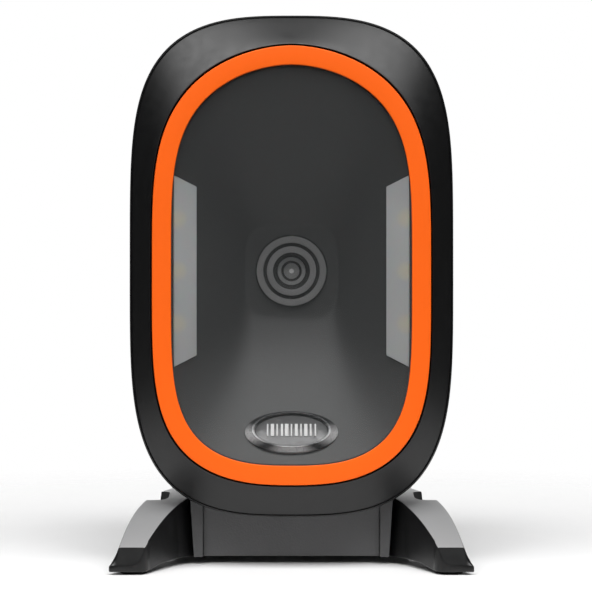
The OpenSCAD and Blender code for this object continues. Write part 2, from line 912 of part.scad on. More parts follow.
module hub_rear_cover() {
    edge = hub_inner - 0.1;
    z0 = cover_z + touch;
    color(charcoal) difference() {
        box([-edge, mid_wall_y + 0.1, z0], [edge, hub_back_y, z0 + cover_t]);
        cover_screw_places() {
            rod_z(0, 0, small_screw_r + slack, 0, beyond);
            rod_z(0, 0, 2.1, z0 + cover_head_sink, beyond);
        }
    }
}

module cover_screws() {
    head_z = cover_z + cover_head_sink + 2 * touch;
    color(steel) cover_screw_places() translate([0, 0, head_z]) screw(small_screw_r, 5, 1.9, 1);
}

module ballast() {
    color(steel) difference() {
        box([-ballast_half, mid_wall_y + hub_wall + 0.4, ballast_low_z],
            [ballast_half, hub_back_y - hub_wall - 0.4, ballast_high_z]);
        cover_screw_places() rod_z(0, 0, 2.8, 0, beyond);
    }
}

// Height of the top of a leg at distance u from its tip: a steep front face,
// then a long rise that levels out at the crown
function leg_top(u) =
    let (lip = pad_drop + leg_skirt, left = (half_length - u) / (half_length - toe_lean))
    u < toe_lean
        ? lip + (toe_top - lip) * u / toe_lean
        : toe_top + (leg_crown - toe_top) * (1 - pow(left, leg_fullness));

// Extra inset that rounds the inner corner of a toe
function toe_round(u) =
    u < toe_radius ? toe_radius - sqrt(toe_radius * toe_radius - pow(toe_radius - u, 2)) : 0;

function front_outer(u) = waist_out + (toe_out - leg_lean - waist_out) * (1 - u / half_length);

function front_inner_top(u) =
    let (w = min(1, max(0, (u - toe_flat) / front_bend_top)))
    cheek_at(leg_top(u)) + (toe_in - cheek_at(leg_top(u))) * pow(1 - w, 1.2) + toe_round(u);

function front_inner_foot(u) =
    let (w = min(1, max(0, (u - toe_flat) / front_bend_foot)))
    cheek_foot + (toe_in - 0.2 - cheek_foot) * (1 - pow(w, 1.6)) + toe_round(u);

function rear_outer(u) = waist_out + (heel_out - waist_out) * pow(1 - u / half_length, 2);

function rear_inner_top(u) =
    cheek_at(leg_top(u)) + heel_in * pow(max(0, 1 - u / heel_bend), 1.5) + toe_round(u);

function rear_inner_foot(u) =
    cheek_foot + heel_in * pow(max(0, 1 - u / heel_bend), 1.5) + toe_round(u);

// Underside: flat at the pads, rising to the underside of the hub between them
function arch(u, start) = pad_drop + (hub_low_z - pad_drop) * min(1, max(0, (u - start) / 6));

// Section of the right leg at distance u from its front or rear tip
function leg_section(u, front) =
    let (
        y = front ? u - half_length : half_length - u,
        top = max(leg_top(u), pad_drop + leg_skirt + 0.2),
        low_in = arch(u, 4),
        low_out = arch(u, 10),
        out_top = front ? front_outer(u) : rear_outer(u),
        in_top = (front ? front_inner_top(u) : rear_inner_top(u)) + slack,
        in_foot = (front ? front_inner_foot(u) : rear_inner_foot(u)) + slack,
        rise = (top - leg_edge - low_out - leg_skirt) / (leg_crown - low_out),
        out_low = out_top + leg_lean,
        in_low = min(in_foot, in_top)
    )
    [
        [in_foot, y, low_in], [out_low, y, low_out], [out_low, y, low_out + leg_skirt],
        [out_top, y, top - leg_edge], [out_top - leg_edge, y, top],
        [in_top + leg_edge * (1 - rise), y, top], [in_top, y, top - leg_edge * (1 - rise)]
    ];

module notch_cutter() {
    translate([0, 0, -1]) linear_extrude(40) {
        translate([notch_x + notch_r, notch_y[0]]) square([20, notch_y[1] - notch_y[0]]);
        translate([notch_x, notch_y[0] + notch_r])
            square([20, notch_y[1] - notch_y[0] - 2 * notch_r]);
        for (y = [notch_y[0] + notch_r, notch_y[1] - notch_r])
            translate([notch_x + notch_r, y]) circle(r = notch_r);
    }
}

module pad_places() {
    translate([front_pad[0], front_pad[1] - half_length, 0]) children();
    translate([rear_pad[0], half_length - rear_pad[1], 0]) children();
}

module leg() {
    last = len(LEG_STATIONS) - 1;
    difference() {
        solid_loft(concat(
            [for (k = [0 : last]) leg_section(LEG_STATIONS[k], true)],
            [leg_section(half_length, true)],
            [for (k = [last : -1 : 0]) leg_section(LEG_STATIONS[k], false)]
        ));
        notch_cutter();
        pad_places() translate([0, 0, -1]) cylinder(r = pad_r + slack, h = pad_t + 1.02);
        for (p = leg_screw_yz) rod_x(p[0], p[1], leg_screw_r + slack, 20, 31.5);
    }
}

module left_leg() {
    color(grey) mirror([1, 0, 0]) leg();
}

module right_leg() {
    color(grey) leg();
}

module leg_screws() {
    head_x = hub_inner - 0.02;
    color(steel) mirrored() for (p = leg_screw_yz)
        translate([head_x, p[0], p[1]]) rotate([0, -90, 0]) screw(leg_screw_r, 6.8, 2.2, 1.4);
}

module foot_pads() {
    color(black) mirrored() pad_places() cylinder(r = pad_r, h = pad_t);
}

front_bezel();
accent_ring();
scan_window();
window_gasket();
optical_funnel();
badge_bezel();
badge_plate();
badge_emblem();
left_diffuser();
right_diffuser();
left_lamp_board();
right_lamp_board();
left_lamps();
right_lamps();
lamp_board_screws();
lens_bezel();
lens_barrel();
lens_retainer();
front_lens();
lens_holder();
sensor_board();
image_sensor();
sensor_board_screws();
sensor_ribbon();
main_board();
decoder_chip();
memory_chip();
board_capacitors();
main_board_screws();
beeper();
cable_socket();
socket_contacts();
rear_housing();
rear_label();
housing_screws();
tilt_neck();
neck_screws();
hub();
hub_front_panel();
hub_rear_cover();
cover_screws();
left_leg();
right_leg();
leg_screws();
hinge_axle();
friction_washers();
spring_washer();
ballast();
foot_pads();
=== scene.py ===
"""Looks of a hands-free desktop barcode scanner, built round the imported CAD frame.

Shapes are worked out in millimetres in the frame's own axes: +Z is up, the head looks
along -Y, and the origin is on the table under the middle of the stand.
"""
import math

import bmesh
import bpy
import numpy as np
from mathutils import Matrix, Vector


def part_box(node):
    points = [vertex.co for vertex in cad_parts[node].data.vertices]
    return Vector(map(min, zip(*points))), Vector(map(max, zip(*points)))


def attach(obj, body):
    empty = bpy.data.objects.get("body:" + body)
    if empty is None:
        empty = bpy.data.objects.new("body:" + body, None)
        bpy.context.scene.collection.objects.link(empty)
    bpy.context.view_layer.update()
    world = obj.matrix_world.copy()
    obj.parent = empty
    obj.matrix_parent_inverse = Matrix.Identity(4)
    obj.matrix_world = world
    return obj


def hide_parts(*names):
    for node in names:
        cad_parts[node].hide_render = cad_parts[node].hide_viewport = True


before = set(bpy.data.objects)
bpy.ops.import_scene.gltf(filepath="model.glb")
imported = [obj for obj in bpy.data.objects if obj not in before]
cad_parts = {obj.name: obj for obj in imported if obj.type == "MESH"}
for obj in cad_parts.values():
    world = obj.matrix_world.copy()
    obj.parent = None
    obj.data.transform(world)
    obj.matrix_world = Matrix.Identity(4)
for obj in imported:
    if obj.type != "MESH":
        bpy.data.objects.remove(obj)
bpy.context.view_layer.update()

MM = 0.001
RING_POINTS = 320  # points round an outline of the head
FINE_STEPS = 800  # steps along a quarter of an outline before it is spaced evenly
CORNER_STEPS = 5  # segments in a rounded corner
CORNER_SHARE = 0.47  # most of a side that one rounded corner may take
SAME_POINT = 0.0005  # points closer than this become one
CLOSE_FIT = 0.05  # gap between pieces that sit against each other
SHELL_WALL = 2.2  # wall of the bezel and of the rear housing
RING_GAP = 0.2  # from the ring, and from the bezel, to the line between them
WINDOW_LAP = 2.6  # how far the window reaches out behind the ring
LENS_PROUD = 1.2  # how far the lens bezel stands out of the funnel


# ---- sizes taken from the frame ----

def box_mm(node):
    """Lowest and highest corner of a CAD node, in millimetres."""
    low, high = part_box(node)
    return np.array(low) / MM, np.array(high) / MM


MIDDLE_Z = 80.0
# Powers of the side and of the end, first for the upper half and then for the lower.
RIM_POWERS = [2.93, 4.56, 2.99, 3.96]
OUTER_POWERS = [1.84, 3.94, 2.55, 4.25]
INNER_POWERS = [1.84, 4.24, 2.75, 4.58]


def outline_of(node, grow, powers):
    """Outline [half width, top, bottom, four corner powers, height of its middle] round a node."""
    low, high = box_mm(node)
    return np.array([high[0] + grow, high[2] + grow, low[2] - grow, *powers, MIDDLE_Z])


RIM = outline_of("front_bezel", 0, RIM_POWERS)
RING_OUTER = outline_of("accent_ring", RING_GAP, OUTER_POWERS)
RING_INNER = outline_of("scan_window", -WINDOW_LAP, INNER_POWERS)
HOUSING = outline_of("rear_housing", 0, RIM_POWERS)

FACE_Y = box_mm("front_bezel")[0][1]
LIP_Y = box_mm("front_bezel")[1][1]
WINDOW_Y, WINDOW_BACK_Y = (corner[1] for corner in box_mm("scan_window"))
LEDGE_Y = box_mm("accent_ring")[1][1] + CLOSE_FIT
FLANGE_Y = box_mm("optical_funnel")[0][1]
SEAM_Y, HOUSING_BACK_Y = (corner[1] for corner in box_mm("rear_housing"))
LENS_Z = (box_mm("lens_bezel")[0][2] + box_mm("lens_bezel")[1][2]) / 2
LENS_FRONT_Y = box_mm("lens_bezel")[0][1]
LENS_PLATE_Y = LENS_FRONT_Y + LENS_PROUD


# ---- outlines, corners and lofts ----

def signed_power(value, power):
    """Power of a value's size, with the value's own sign."""
    return np.sign(value) * np.abs(value) ** power


def outline_points(outline):
    """Points round an outline as x and z arrays, evenly spaced within each quarter."""
    half, top, bottom, side_up, end_up, side_down, end_down, middle = outline
    xs, zs = [], []
    for quarter in range(4):
        upper = quarter < 2
        side, end = (side_up, end_up) if upper else (side_down, end_down)
        reach = top - middle if upper else middle - bottom
        turn = np.radians(np.linspace(90 * quarter, 90 * quarter + 90, FINE_STEPS + 1))
        x = half * signed_power(np.cos(turn), 2 / side)
        z = middle + reach * signed_power(np.sin(turn), 2 / end)
        run = np.concatenate([[0], np.cumsum(np.hypot(np.diff(x), np.diff(z)))])
        stops = np.linspace(0, run[-1], RING_POINTS // 4 + 1)[:-1]
        xs.append(np.interp(stops, run, x))
        zs.append(np.interp(stops, run, z))
    return np.concatenate(xs), np.concatenate(zs)


def ring_at(outline, y):
    x, z = outline_points(outline)
    return np.column_stack([x, np.full_like(x, y), z])


def inset(outline, by, top=None, bottom=None):
    """The outline made smaller by a distance at the sides, and by others at top and bottom."""
    smaller = np.array(outline, float)
    smaller[0] -= by
    smaller[1] -= by if top is None else top
    smaller[2] += by if bottom is None else bottom
    return smaller


def blend(first, second, share):
    """Value that lies a share of the way from the first to the second."""
    return np.asarray(first) + (np.asarray(second) - np.asarray(first)) * share


def rounded(knots, weights, closed=True, steps=CORNER_STEPS):
    """Path through knots, given as (vector, corner radius), with each corner made a short curve."""
    vectors = [np.asarray(knot[0], float) for knot in knots]
    path = []
    last = len(knots) - 1
    for i, (_, radius) in enumerate(knots):
        here = vectors[i]
        if radius <= 0 or (not closed and i in (0, last)):
            path.append(here)
            continue
        ends = []
        for other in (vectors[i - 1], vectors[(i + 1) % len(knots)]):
            away = other - here
            length = max(1e-9, float(np.linalg.norm(away * weights)))
            ends.append(here + away * min(CORNER_SHARE, radius / length))
        for s in np.linspace(0, 1, steps + 1):
            path.append(ends[0] * (1 - s) ** 2 + here * 2 * s * (1 - s) + ends[1] * s ** 2)
    return path


# How much each number of an outline, and then its depth, counts as distance along a profile.
OUTLINE_WEIGHTS = np.array([0.58, 0.58, 0.58, 0, 0, 0, 0, 0, 1])


def outline_rings(knots, closed=True):
    """Rings of points through knots (outline, y, corner radius)."""
    vectors = [(np.append(outline, y), radius) for outline, y, radius in knots]
    return [ring_at(v[:-1], v[-1]) for v in rounded(vectors, OUTLINE_WEIGHTS, closed)]


def new_object(name, points, faces, smooth=32):
    """Mesh object from points in millimetres, smooth except at edges sharper than an angle."""
    mesh = bpy.data.meshes.new(name)
    mesh.from_pydata((np.asarray(points) * MM).tolist(), [], faces)
    obj = bpy.data.objects.new(name, mesh)
    bpy.context.scene.collection.objects.link(obj)
    shape = bmesh.new()
    shape.from_mesh(mesh)
    bmesh.ops.remove_doubles(shape, verts=shape.verts, dist=SAME_POINT * MM)
    bmesh.ops.recalc_face_normals(shape, faces=shape.faces)
    shape.to_mesh(mesh)
    shape.free()
    smoothen(obj, smooth)
    return obj


def smoothen(obj, angle):
    """Smooth shading, except at edges sharper than an angle."""
    obj.data.polygons.foreach_set("use_smooth", [True] * len(obj.data.polygons))
    obj.data.set_sharp_from_angle(angle=math.radians(angle))


def loft(name, rings, band=False, smooth=32, caps=(True, True)):
    """Skin through rings of equal length: a closed band, or a surface with a cap at either end."""
    count = len(rings[0])
    last = len(rings) - 1
    faces = []
    for k in range(last + 1 if band else last):
        a = k * count
        b = (k + 1) % (last + 1) * count
        turns = [(i, (i + 1) % count) for i in range(count)]
        faces += [(a + i, a + j, b + j, b + i) for i, j in turns]
    if not band and caps[0]:
        faces.append(tuple(range(count))[::-1])
    if not band and caps[1]:
        faces.append(tuple(range(last * count, (last + 1) * count)))
    return new_object(name, np.concatenate(rings), faces, smooth)


def turned(name, knots, around=128):
    """Closed profile of (radius, y, corner radius) turned about the lens axis."""
    path = rounded([((r, y), corner) for r, y, corner in knots], np.ones(2))
    angles = np.linspace(0, 2 * math.pi, around, endpoint=False)
    rings = [
        np.column_stack([r * np.cos(angles), np.full(around, y), LENS_Z + r * np.sin(angles)])
        for r, y in path
    ]
    return loft(name, rings, band=True)


def placed(points, matrix):
    """Points moved from a local frame, in millimetres."""
    rows = np.array(matrix)
    return np.asarray(points) @ rows[:3, :3].T + rows[:3, 3]


def prism(name, outline, low, high, matrix=Matrix(), edge=0.0):
    """Solid with a flat outline, between two heights in a local frame, with rounded edges."""
    outline = np.asarray(outline, float)
    middle = outline.mean(0)
    reach = np.abs(outline - middle).max(0)
    levels = [(low, 0), (high, 0)]
    if edge:
        arc = [math.radians(a) for a in (0, 30, 60, 90)]
        levels = [(low + edge * (1 - math.sin(a)), edge * (1 - math.cos(a))) for a in arc[::-1]]
        levels += [(high - edge * (1 - math.sin(a)), edge * (1 - math.cos(a))) for a in arc]
    rings = []
    for height, shrink in levels:
        flat = middle + (outline - middle) * (1 - shrink / reach)
        rings.append(placed(np.column_stack([flat, np.full(len(flat), height)]), matrix))
    return loft(name, rings)


def rounded_rectangle(half_x, half_y, radius, steps=6):
    """Outline of a rectangle with round corners, about its middle."""
    corners = [(half_x, half_y), (-half_x, half_y), (-half_x, -half_y), (half_x, -half_y)]
    return np.array(rounded([(corner, radius) for corner in corners], np.ones(2), steps=steps))


def ellipse(half_x, half_y, count=96):
    turn = np.linspace(0, 2 * math.pi, count, endpoint=False)
    return np.column_stack([half_x * np.cos(turn), half_y * np.sin(turn)])


MIRROR_X = Matrix.Scale(-1, 4, Vector((1, 0, 0)))
# Local frame whose axes are the frame's x, z and y.
ALONG_Y = Matrix(((1, 0, 0, 0), (0, 0, 1, 0), (0, 1, 0, 0), (0, 0, 0, 1)))


def rod_along_y(name, x, z, radius, y0, y1):
    matrix = ALONG_Y @ Matrix.Translation((x, z, 0))
    return prism(name, ellipse(radius, radius, 64), y0, y1, matrix)


def block(name, low, high):
    """Plain cutter between two corners."""
    low, high = np.array(low, float), np.array(high, float)
    middle, half = (low + high) / 2, (high - low) / 2
    outline = [(-half[0], -half[1]), (half[0], -half[1]), (half[0], half[1]), (-half[0], half[1])]
    return prism(name, outline, low[2], high[2], Matrix.Translation((middle[0], middle[1], 0)))


def cut(obj, cutters, smooth=32):
    """Takes other solids away from obj, and uses them up."""
    for cutter in cutters:
        step = obj.modifiers.new("cut", "BOOLEAN")
        step.operation = "DIFFERENCE"
        step.solver = "EXACT"
        step.object = cutter
    graph = bpy.context.evaluated_depsgraph_get()
    mesh = bpy.data.meshes.new_from_object(obj.evaluated_get(graph))
    obj.modifiers.clear()
    obj.data = mesh
    for cutter in cutters:
        bpy.data.objects.remove(cutter)
    smoothen(obj, smooth)


def soften(obj, width, angle=30):
    """Rounds the edges that are sharper than an angle, once meeting points are one."""
    weld = obj.modifiers.new("weld", "WELD")
    weld.merge_threshold = 0.002 * MM
    bevel = obj.modifiers.new("edges", "BEVEL")
    bevel.width = width * MM
    bevel.segments = 2
    bevel.limit_method = "ANGLE"
    bevel.angle_limit = math.radians(angle)


def mirrored_copy(obj, name):
    """The same piece on the other side of the object."""
    mesh = obj.data.copy()
    mesh.name = name
    mesh.transform(MIRROR_X)
    mesh.flip_normals()
    copy = bpy.data.objects.new(name, mesh)
    bpy.context.scene.collection.objects.link(copy)
    return copy


# ---- materials ----

class Finish:
    """A node material: a Principled shader and the texture nodes that feed it."""

    def __init__(self, name, **sockets):
        self.material = bpy.data.materials.new(name)
        self.material.use_nodes = True
        self.tree = self.material.node_tree
        self.shader = self.tree.nodes["Principled BSDF"]
        self.place = self.node("ShaderNodeTexCoord").outputs["Object"]
        for socket, value in sockets.items():
            self.shader.inputs[socket.replace("_", " ")].default_value = value

    def node(self, kind, inputs=None, **settings):
        """New node with its settings and inputs, where an input is a value or another output."""
        made = self.tree.nodes.new(kind)
        for key, value in settings.items():
            setattr(made, key, value)
        for key, value in (inputs or {}).items():
            if isinstance(value, bpy.types.NodeSocket):
                self.tree.links.new(value, made.inputs[key])
            else:
                made.inputs[key].default_value = value
        return made

    def noise(self, size, detail=2.0, place=None):
        """Soft noise whose lumps are about size millimetres across."""
        inputs = {"Vector": place or self.place, "Scale": 1 / (size * MM), "Detail": detail}
        return self.node("ShaderNodeTexNoise", inputs).outputs["Fac"]

    def cells(self, size):
        inputs = {"Vector": self.place, "Scale": 1 / (size * MM)}
        return self.node("ShaderNodeTexVoronoi", inputs, feature="SMOOTH_F1").outputs["Distance"]

    def span(self, value, low, high, start=0.3, stop=0.7):
        """A value between start and stop mapped to low and high."""
        inputs = {"Value": value, "From Min": start, "From Max": stop, "To Min": low, "To Max": high}
        return self.node("ShaderNodeMapRange", inputs).outputs["Result"]

    def mix(self, share, first, second):
        """Blend of two colours; a Mix node's colours are its sockets 6 and 7, and its output 2."""
        made = self.node("ShaderNodeMix", data_type="RGBA")
        self.tree.links.new(share, made.inputs[0])
        for slot, value in ((6, first), (7, second)):
            if isinstance(value, bpy.types.NodeSocket):
                self.tree.links.new(value, made.inputs[slot])
            else:
                made.inputs[slot].default_value = (*value[:3], 1)
        return made.outputs[2]

    def calc(self, operation, first, second=0.0):
        made = self.node("ShaderNodeMath", {0: first, 1: second}, operation=operation)
        return made.outputs[0]

    def axes(self):
        """The x, y and z of the surface point in the frame, in metres."""
        return self.node("ShaderNodeSeparateXYZ", {0: self.place}).outputs

    def lens_radius(self):
        """Distance of the surface point from the lens axis, in millimetres."""
        x, _, z = self.axes()
        rise = self.calc("SUBTRACT", z, LENS_Z * MM)
        squares = self.calc("ADD", self.calc("MULTIPLY", x, x), self.calc("MULTIPLY", rise, rise))
        return self.calc("MULTIPLY", self.calc("SQRT", squares), 1 / MM)

    def feed(self, socket, value):
        self.tree.links.new(value, self.shader.inputs[socket])

    def bump(self, height, depth, after=None):
        """Bump of a depth in millimetres, on top of another bump."""
        inputs = {"Height": height, "Distance": depth * MM, "Strength": 1.0}
        if after is not None:
            inputs["Normal"] = after
        return self.node("ShaderNodeBump", inputs).outputs["Normal"]

    def done(self, colour, roughness, normal):
        """Links the three outputs that every material has, and gives the material."""
        self.feed("Base Color", colour)
        self.feed("Roughness", roughness)
        self.feed("Normal", normal)
        return self.material


def scaled(colour, factor):
    return tuple(channel * factor for channel in colour)


def moulded(name, colour, roughness, grain, depth, speckle=0.08, **sockets):
    """Moulded plastic: fine grain, slow mottling and a little change in gloss."""
    finish = Finish(name, **sockets)
    slow = finish.noise(16)
    fine = finish.noise(grain, 3)
    return finish.done(
        finish.mix(slow, scaled(colour, 1 - speckle), scaled(colour, 1 + speckle)),
        finish.span(finish.noise(2.5), roughness - 0.03, roughness + 0.03),
        finish.bump(fine, depth),
    )


def grained(name, colour, roughness, grain, depth, speckle=0.16):
    """Plastic with a spark-eroded texture: two sizes of grain that also shade the colour."""
    finish = Finish(name)
    fine = finish.noise(grain, 4)
    broad = finish.noise(grain * 3.1, 2)
    pits = finish.mix(fine, scaled(colour, 1 - speckle), scaled(colour, 1 + speckle))
    patches = finish.span(finish.noise(14), 0, 0.3)
    return finish.done(
        finish.mix(patches, pits, scaled(colour, 1.1)),
        finish.span(fine, roughness - 0.06, roughness + 0.06),
        finish.bump(fine, depth, finish.bump(broad, depth * 0.6)),
    )


def metal(name, colour, roughness, stretch=(1, 1, 1), size=0.4):
    """Metal with fine machining marks drawn out along one axis."""
    finish = Finish(name, Metallic=1.0)
    drawn = finish.node("ShaderNodeMapping", {"Vector": finish.place, "Scale": stretch}).outputs[0]
    marks = finish.noise(size, 3, drawn)
    return finish.done(
        finish.mix(marks, scaled(colour, 0.86), scaled(colour, 1.06)),
        finish.span(marks, roughness - 0.06, roughness + 0.08),
        finish.bump(marks, 0.004),
    )


def smoked_window():
    """Dark clear plastic that lets most of the inside show."""
    finish = Finish("smoked_window", Alpha=0.17, IOR=1.49)
    slow = finish.noise(22)
    return finish.done(
        finish.mix(slow, (0.06, 0.064, 0.065), (0.07, 0.074, 0.074)),
        finish.span(slow, 0.07, 0.1),
        finish.bump(finish.noise(6), 0.0006),
    )


def frosted_diffuser():
    """Milky plastic with a faint warm painted glow over each lamp."""
    finish = Finish("frosted_diffuser", Subsurface_Weight=0.25, Subsurface_Scale=0.002)
    low, high = box_mm("right_lamps")
    lamp_size = 3
    to_face = 1.6
    patch_x = (low[0] + high[0]) / 2 - to_face
    pitch = (high[2] - low[2] - lamp_size) / 2
    x, _, z = finish.axes()
    step = finish.calc("MULTIPLY", finish.calc("SUBTRACT", z, LENS_Z * MM), 1 / (pitch * MM))
    off_z = finish.calc("PINGPONG", step, 0.5)
    near_z = finish.calc("MULTIPLY", off_z, pitch)
    inward = finish.calc("SUBTRACT", finish.calc("ABSOLUTE", x), patch_x * MM)
    near_x = finish.calc("MULTIPLY", inward, 1 / MM)
    squares = finish.calc("ADD", finish.calc("POWER", near_z, 2.0), finish.calc("MULTIPLY", near_x, near_x))
    end_step = 1.45
    within = finish.calc("LESS_THAN", finish.calc("ABSOLUTE", step), end_step)
    # Painted glow: a warm patch in the colour over each lamp.
    painted_glow = finish.calc("MULTIPLY", finish.span(squares, 1, 0, 0.8, 9.0), within)
    haze = finish.mix(finish.noise(7), (0.62, 0.64, 0.65), (0.71, 0.72, 0.72))
    faint = finish.calc("MULTIPLY", painted_glow, 0.6)
    return finish.done(
        finish.mix(faint, haze, (0.86, 0.8, 0.58)),
        finish.span(finish.noise(0.6), 0.42, 0.55),
        finish.bump(finish.noise(0.5, 3), 0.006),
    )


def coated_lens():
    """Front lens: dark edge, a grey middle that is a painted reflection of the coating, and a small painted
    highlight at the centre.
    """
    finish = Finish("coated_lens", IOR=1.6, Coat_Weight=0.6, Coat_Roughness=0.03)
    radius = finish.lens_radius()
    # Painted reflection over the middle disc, and a painted highlight at the centre.
    painted_reflection_disc = finish.span(radius, 1, 0, 2.15, 2.35)
    painted_highlight = finish.span(radius, 1, 0, 0.55, 0.75)
    haze = finish.mix(finish.noise(0.8), (0.36, 0.36, 0.362), (0.4, 0.4, 0.4))
    middle = finish.mix(painted_reflection_disc, (0.006, 0.006, 0.008), haze)
    return finish.done(
        finish.mix(painted_highlight, middle, (0.97, 0.97, 0.97)),
        finish.span(finish.noise(1.5), 0.14, 0.2),
        finish.bump(finish.noise(1.5), 0.0005),
    )


def funnel_surface():
    """Eroded plastic with painted shade and light: darker round the lens and paler towards the mouth of the
    floor.
    """
    finish = Finish("funnel_plastic")
    height = finish.axes()[2]
    painted_light_z, painted_shade_z = 30, 62
    # Painted shade and light: the colour is darker up by the lens and paler low by the mouth, set by height
    # alone.
    mouth = finish.span(height, 1, 0, painted_light_z * MM, painted_shade_z * MM)
    fine = finish.noise(0.45, 4)
    dark = finish.mix(fine, (0.038, 0.0385, 0.0385), (0.052, 0.053, 0.053))
    painted_light_tone = finish.mix(fine, (0.086, 0.0875, 0.0875), (0.114, 0.116, 0.116))
    return finish.done(
        finish.mix(mouth, dark, painted_light_tone),
        finish.span(fine, 0.44, 0.56),
        finish.bump(fine, 0.035, finish.bump(finish.noise(1.4), 0.02)),
    )


def badge_chrome():
    """Satin chrome with a painted reflection: paler at the sides and the bottom, darker along the top and the
    lower corners.
    """
    finish = Finish("badge_chrome", Metallic=0.2)
    low, high = box_mm("badge_plate")
    x, _, z = finish.axes()
    across = finish.calc("MULTIPLY", x, 2 / ((high[0] - low[0]) * MM))
    middle = (low[2] + high[2]) / 2
    rise = finish.calc("SUBTRACT", z, middle * MM)
    up = finish.calc("MULTIPLY", rise, 2 / ((high[2] - low[2]) * MM))
    # Painted reflection: a pale and a dark chrome tone, mixed by the angle round the oval.
    angle = finish.calc("ARCTAN2", up, finish.calc("ABSOLUTE", across))
    off_side = finish.calc("ABSOLUTE", finish.calc("ADD", angle, 0.1))
    sides = finish.span(off_side, 1, 0, 0.15, 0.62)
    bottom = finish.span(angle, 1, 0, -1.25, -0.85)
    painted_reflection_mask = finish.calc("MAXIMUM", sides, bottom)
    brushed = finish.noise(0.5, 3)
    light = finish.mix(brushed, (0.5, 0.5, 0.502), (0.58, 0.58, 0.582))
    dark = finish.mix(brushed, (0.012, 0.012, 0.013), (0.02, 0.02, 0.021))
    return finish.done(
        finish.mix(painted_reflection_mask, dark, light),
        finish.span(brushed, 0.24, 0.34),
        finish.bump(brushed, 0.003),
    )


def lens_mount(name, colour, roughness, painted_shade_radius, metallic=0.0):
    """Turned grey part of the lens, with painted shade: matt black inside a radius, over its hollows."""
    finish = Finish(name, Metallic=metallic)
    fine = finish.noise(0.45, 3)
    soft = 0.06
    # Painted shade: black inside the radius, where the hollows of the lens lie.
    outside = finish.span(finish.lens_radius(), 0, 1, painted_shade_radius - soft, painted_shade_radius + soft)
    grey = finish.mix(finish.noise(6), scaled(colour, 0.94), scaled(colour, 1.06))
    return finish.done(
        finish.mix(outside, (0.022, 0.022, 0.022), grey),
        finish.span(outside, 0.75, roughness, 0, 1),
        finish.bump(fine, 0.004),
    )


def circuit_board():
    """Green solder mask with faint tracks and vias."""
    finish = Finish("circuit_board")
    layout = {"Vector": finish.place, "Scale": 260.0, "Mortar Size": 0.06}
    tracks = finish.node("ShaderNodeTexBrick", layout).outputs["Fac"]
    mask = finish.mix(tracks, (0.01, 0.13, 0.05), (0.02, 0.2, 0.09))
    vias = finish.span(finish.cells(2.2), 0, 1, 0.12, 0.2)
    return finish.done(
        finish.mix(vias, (0.55, 0.5, 0.3), mask),
        finish.span(finish.noise(1), 0.28, 0.42),
        finish.bump(tracks, 0.03),
    )


def label_film():
    """Silvery film label with a printed band of plain bars."""
    finish = Finish("label_film")
    low, high = box_mm("rear_label")
    x, _, z = finish.axes()
    grain = finish.noise(0.3, 3)
    film = finish.mix(grain, (0.42, 0.42, 0.43), (0.52, 0.52, 0.53))
    bar_width = 0.9
    stripe = finish.node("ShaderNodeTexNoise", {"Scale": 1 / (bar_width * MM), "Detail": 0.0},
                         noise_dimensions="1D")
    finish.tree.links.new(x, stripe.inputs["W"])
    bars = finish.calc("GREATER_THAN", stripe.outputs["Fac"], 0.52)
    height = (high[2] - low[2]) * MM
    floor_z = low[2] * MM
    above = finish.calc("GREATER_THAN", z, floor_z + 0.14 * height)
    below = finish.calc("LESS_THAN", z, floor_z + 0.42 * height)
    band = finish.calc("MULTIPLY", above, below)
    inside = finish.calc("LESS_THAN", finish.calc("ABSOLUTE", x), high[0] * 0.78 * MM)
    ink = finish.calc("MULTIPLY", finish.calc("MULTIPLY", band, inside), bars)
    return finish.done(
        finish.mix(ink, film, (0.02, 0.02, 0.02)),
        finish.span(grain, 0.34, 0.5),
        finish.bump(grain, 0.004),
    )


# Colour, roughness, grain size, bump depth, and the speckle where it differs.
MOULDED = {
    "bezel_plastic": ((0.003, 0.0031, 0.0033), 0.4, 0.35, 0.006),
    "gasket_foam": ((0.006, 0.006, 0.006), 0.85, 0.4, 0.05),
    "badge_mark": ((0.97, 0.97, 0.97), 0.4, 0.5, 0.002, 0.02),
    "lamp": ((0.95, 0.8, 0.4), 0.35, 0.4, 0.01, 0.05),
    "black_plastic": ((0.01, 0.01, 0.011), 0.5, 0.4, 0.01),
    "chip": ((0.02, 0.02, 0.022), 0.6, 0.3, 0.015),
    "leg_plastic": ((0.0025, 0.0026, 0.0028), 0.36, 0.5, 0.006),
    # leg_top: painted light, a pale grey for the light that the tops of the legs catch.
    "leg_top": ((0.25, 0.25, 0.252), 0.5, 0.5, 0.006, 0.04),
}
GRAINED = {
    "housing_plastic": ((0.013, 0.0132, 0.014), 0.46, 0.55, 0.03),
    "stand_plastic": ((0.08, 0.08, 0.082), 0.5, 0.55, 0.05),
    "panel_plastic": ((0.1, 0.1, 0.102), 0.5, 0.5, 0.05),
    "friction_pad": ((0.14, 0.1, 0.055), 0.7, 0.3, 0.03),
    "foot_rubber": ((0.012, 0.012, 0.012), 0.75, 0.4, 0.04),
}
# Colour, roughness, and the stretch and size of the marks.
METALS = {
    "screw_steel": ((0.5, 0.5, 0.52), 0.32),
    "capacitor": ((0.6, 0.6, 0.62), 0.3),
    "contact_metal": ((0.85, 0.62, 0.25), 0.24),
    "axle_steel": ((0.5, 0.5, 0.52), 0.26, (0.1, 1, 1)),
    "ribbon": ((0.5, 0.42, 0.3), 0.45, (1, 0.05, 0.05), 0.9),
    "ballast_steel": ((0.35, 0.34, 0.33), 0.5, (1, 1, 0.2), 0.8),
}
# Colour, roughness, the radius inside which shade is painted black, and how metallic it is.
LENS_MOUNTS = {
    "lens_ring": ((0.235, 0.236, 0.236), 0.42, 7.94),
    "lens_lock": ((0.33, 0.332, 0.332), 0.42, 2.92),
    "lens_metal": ((0.28, 0.28, 0.282), 0.4, 5.2, 0.2),
}


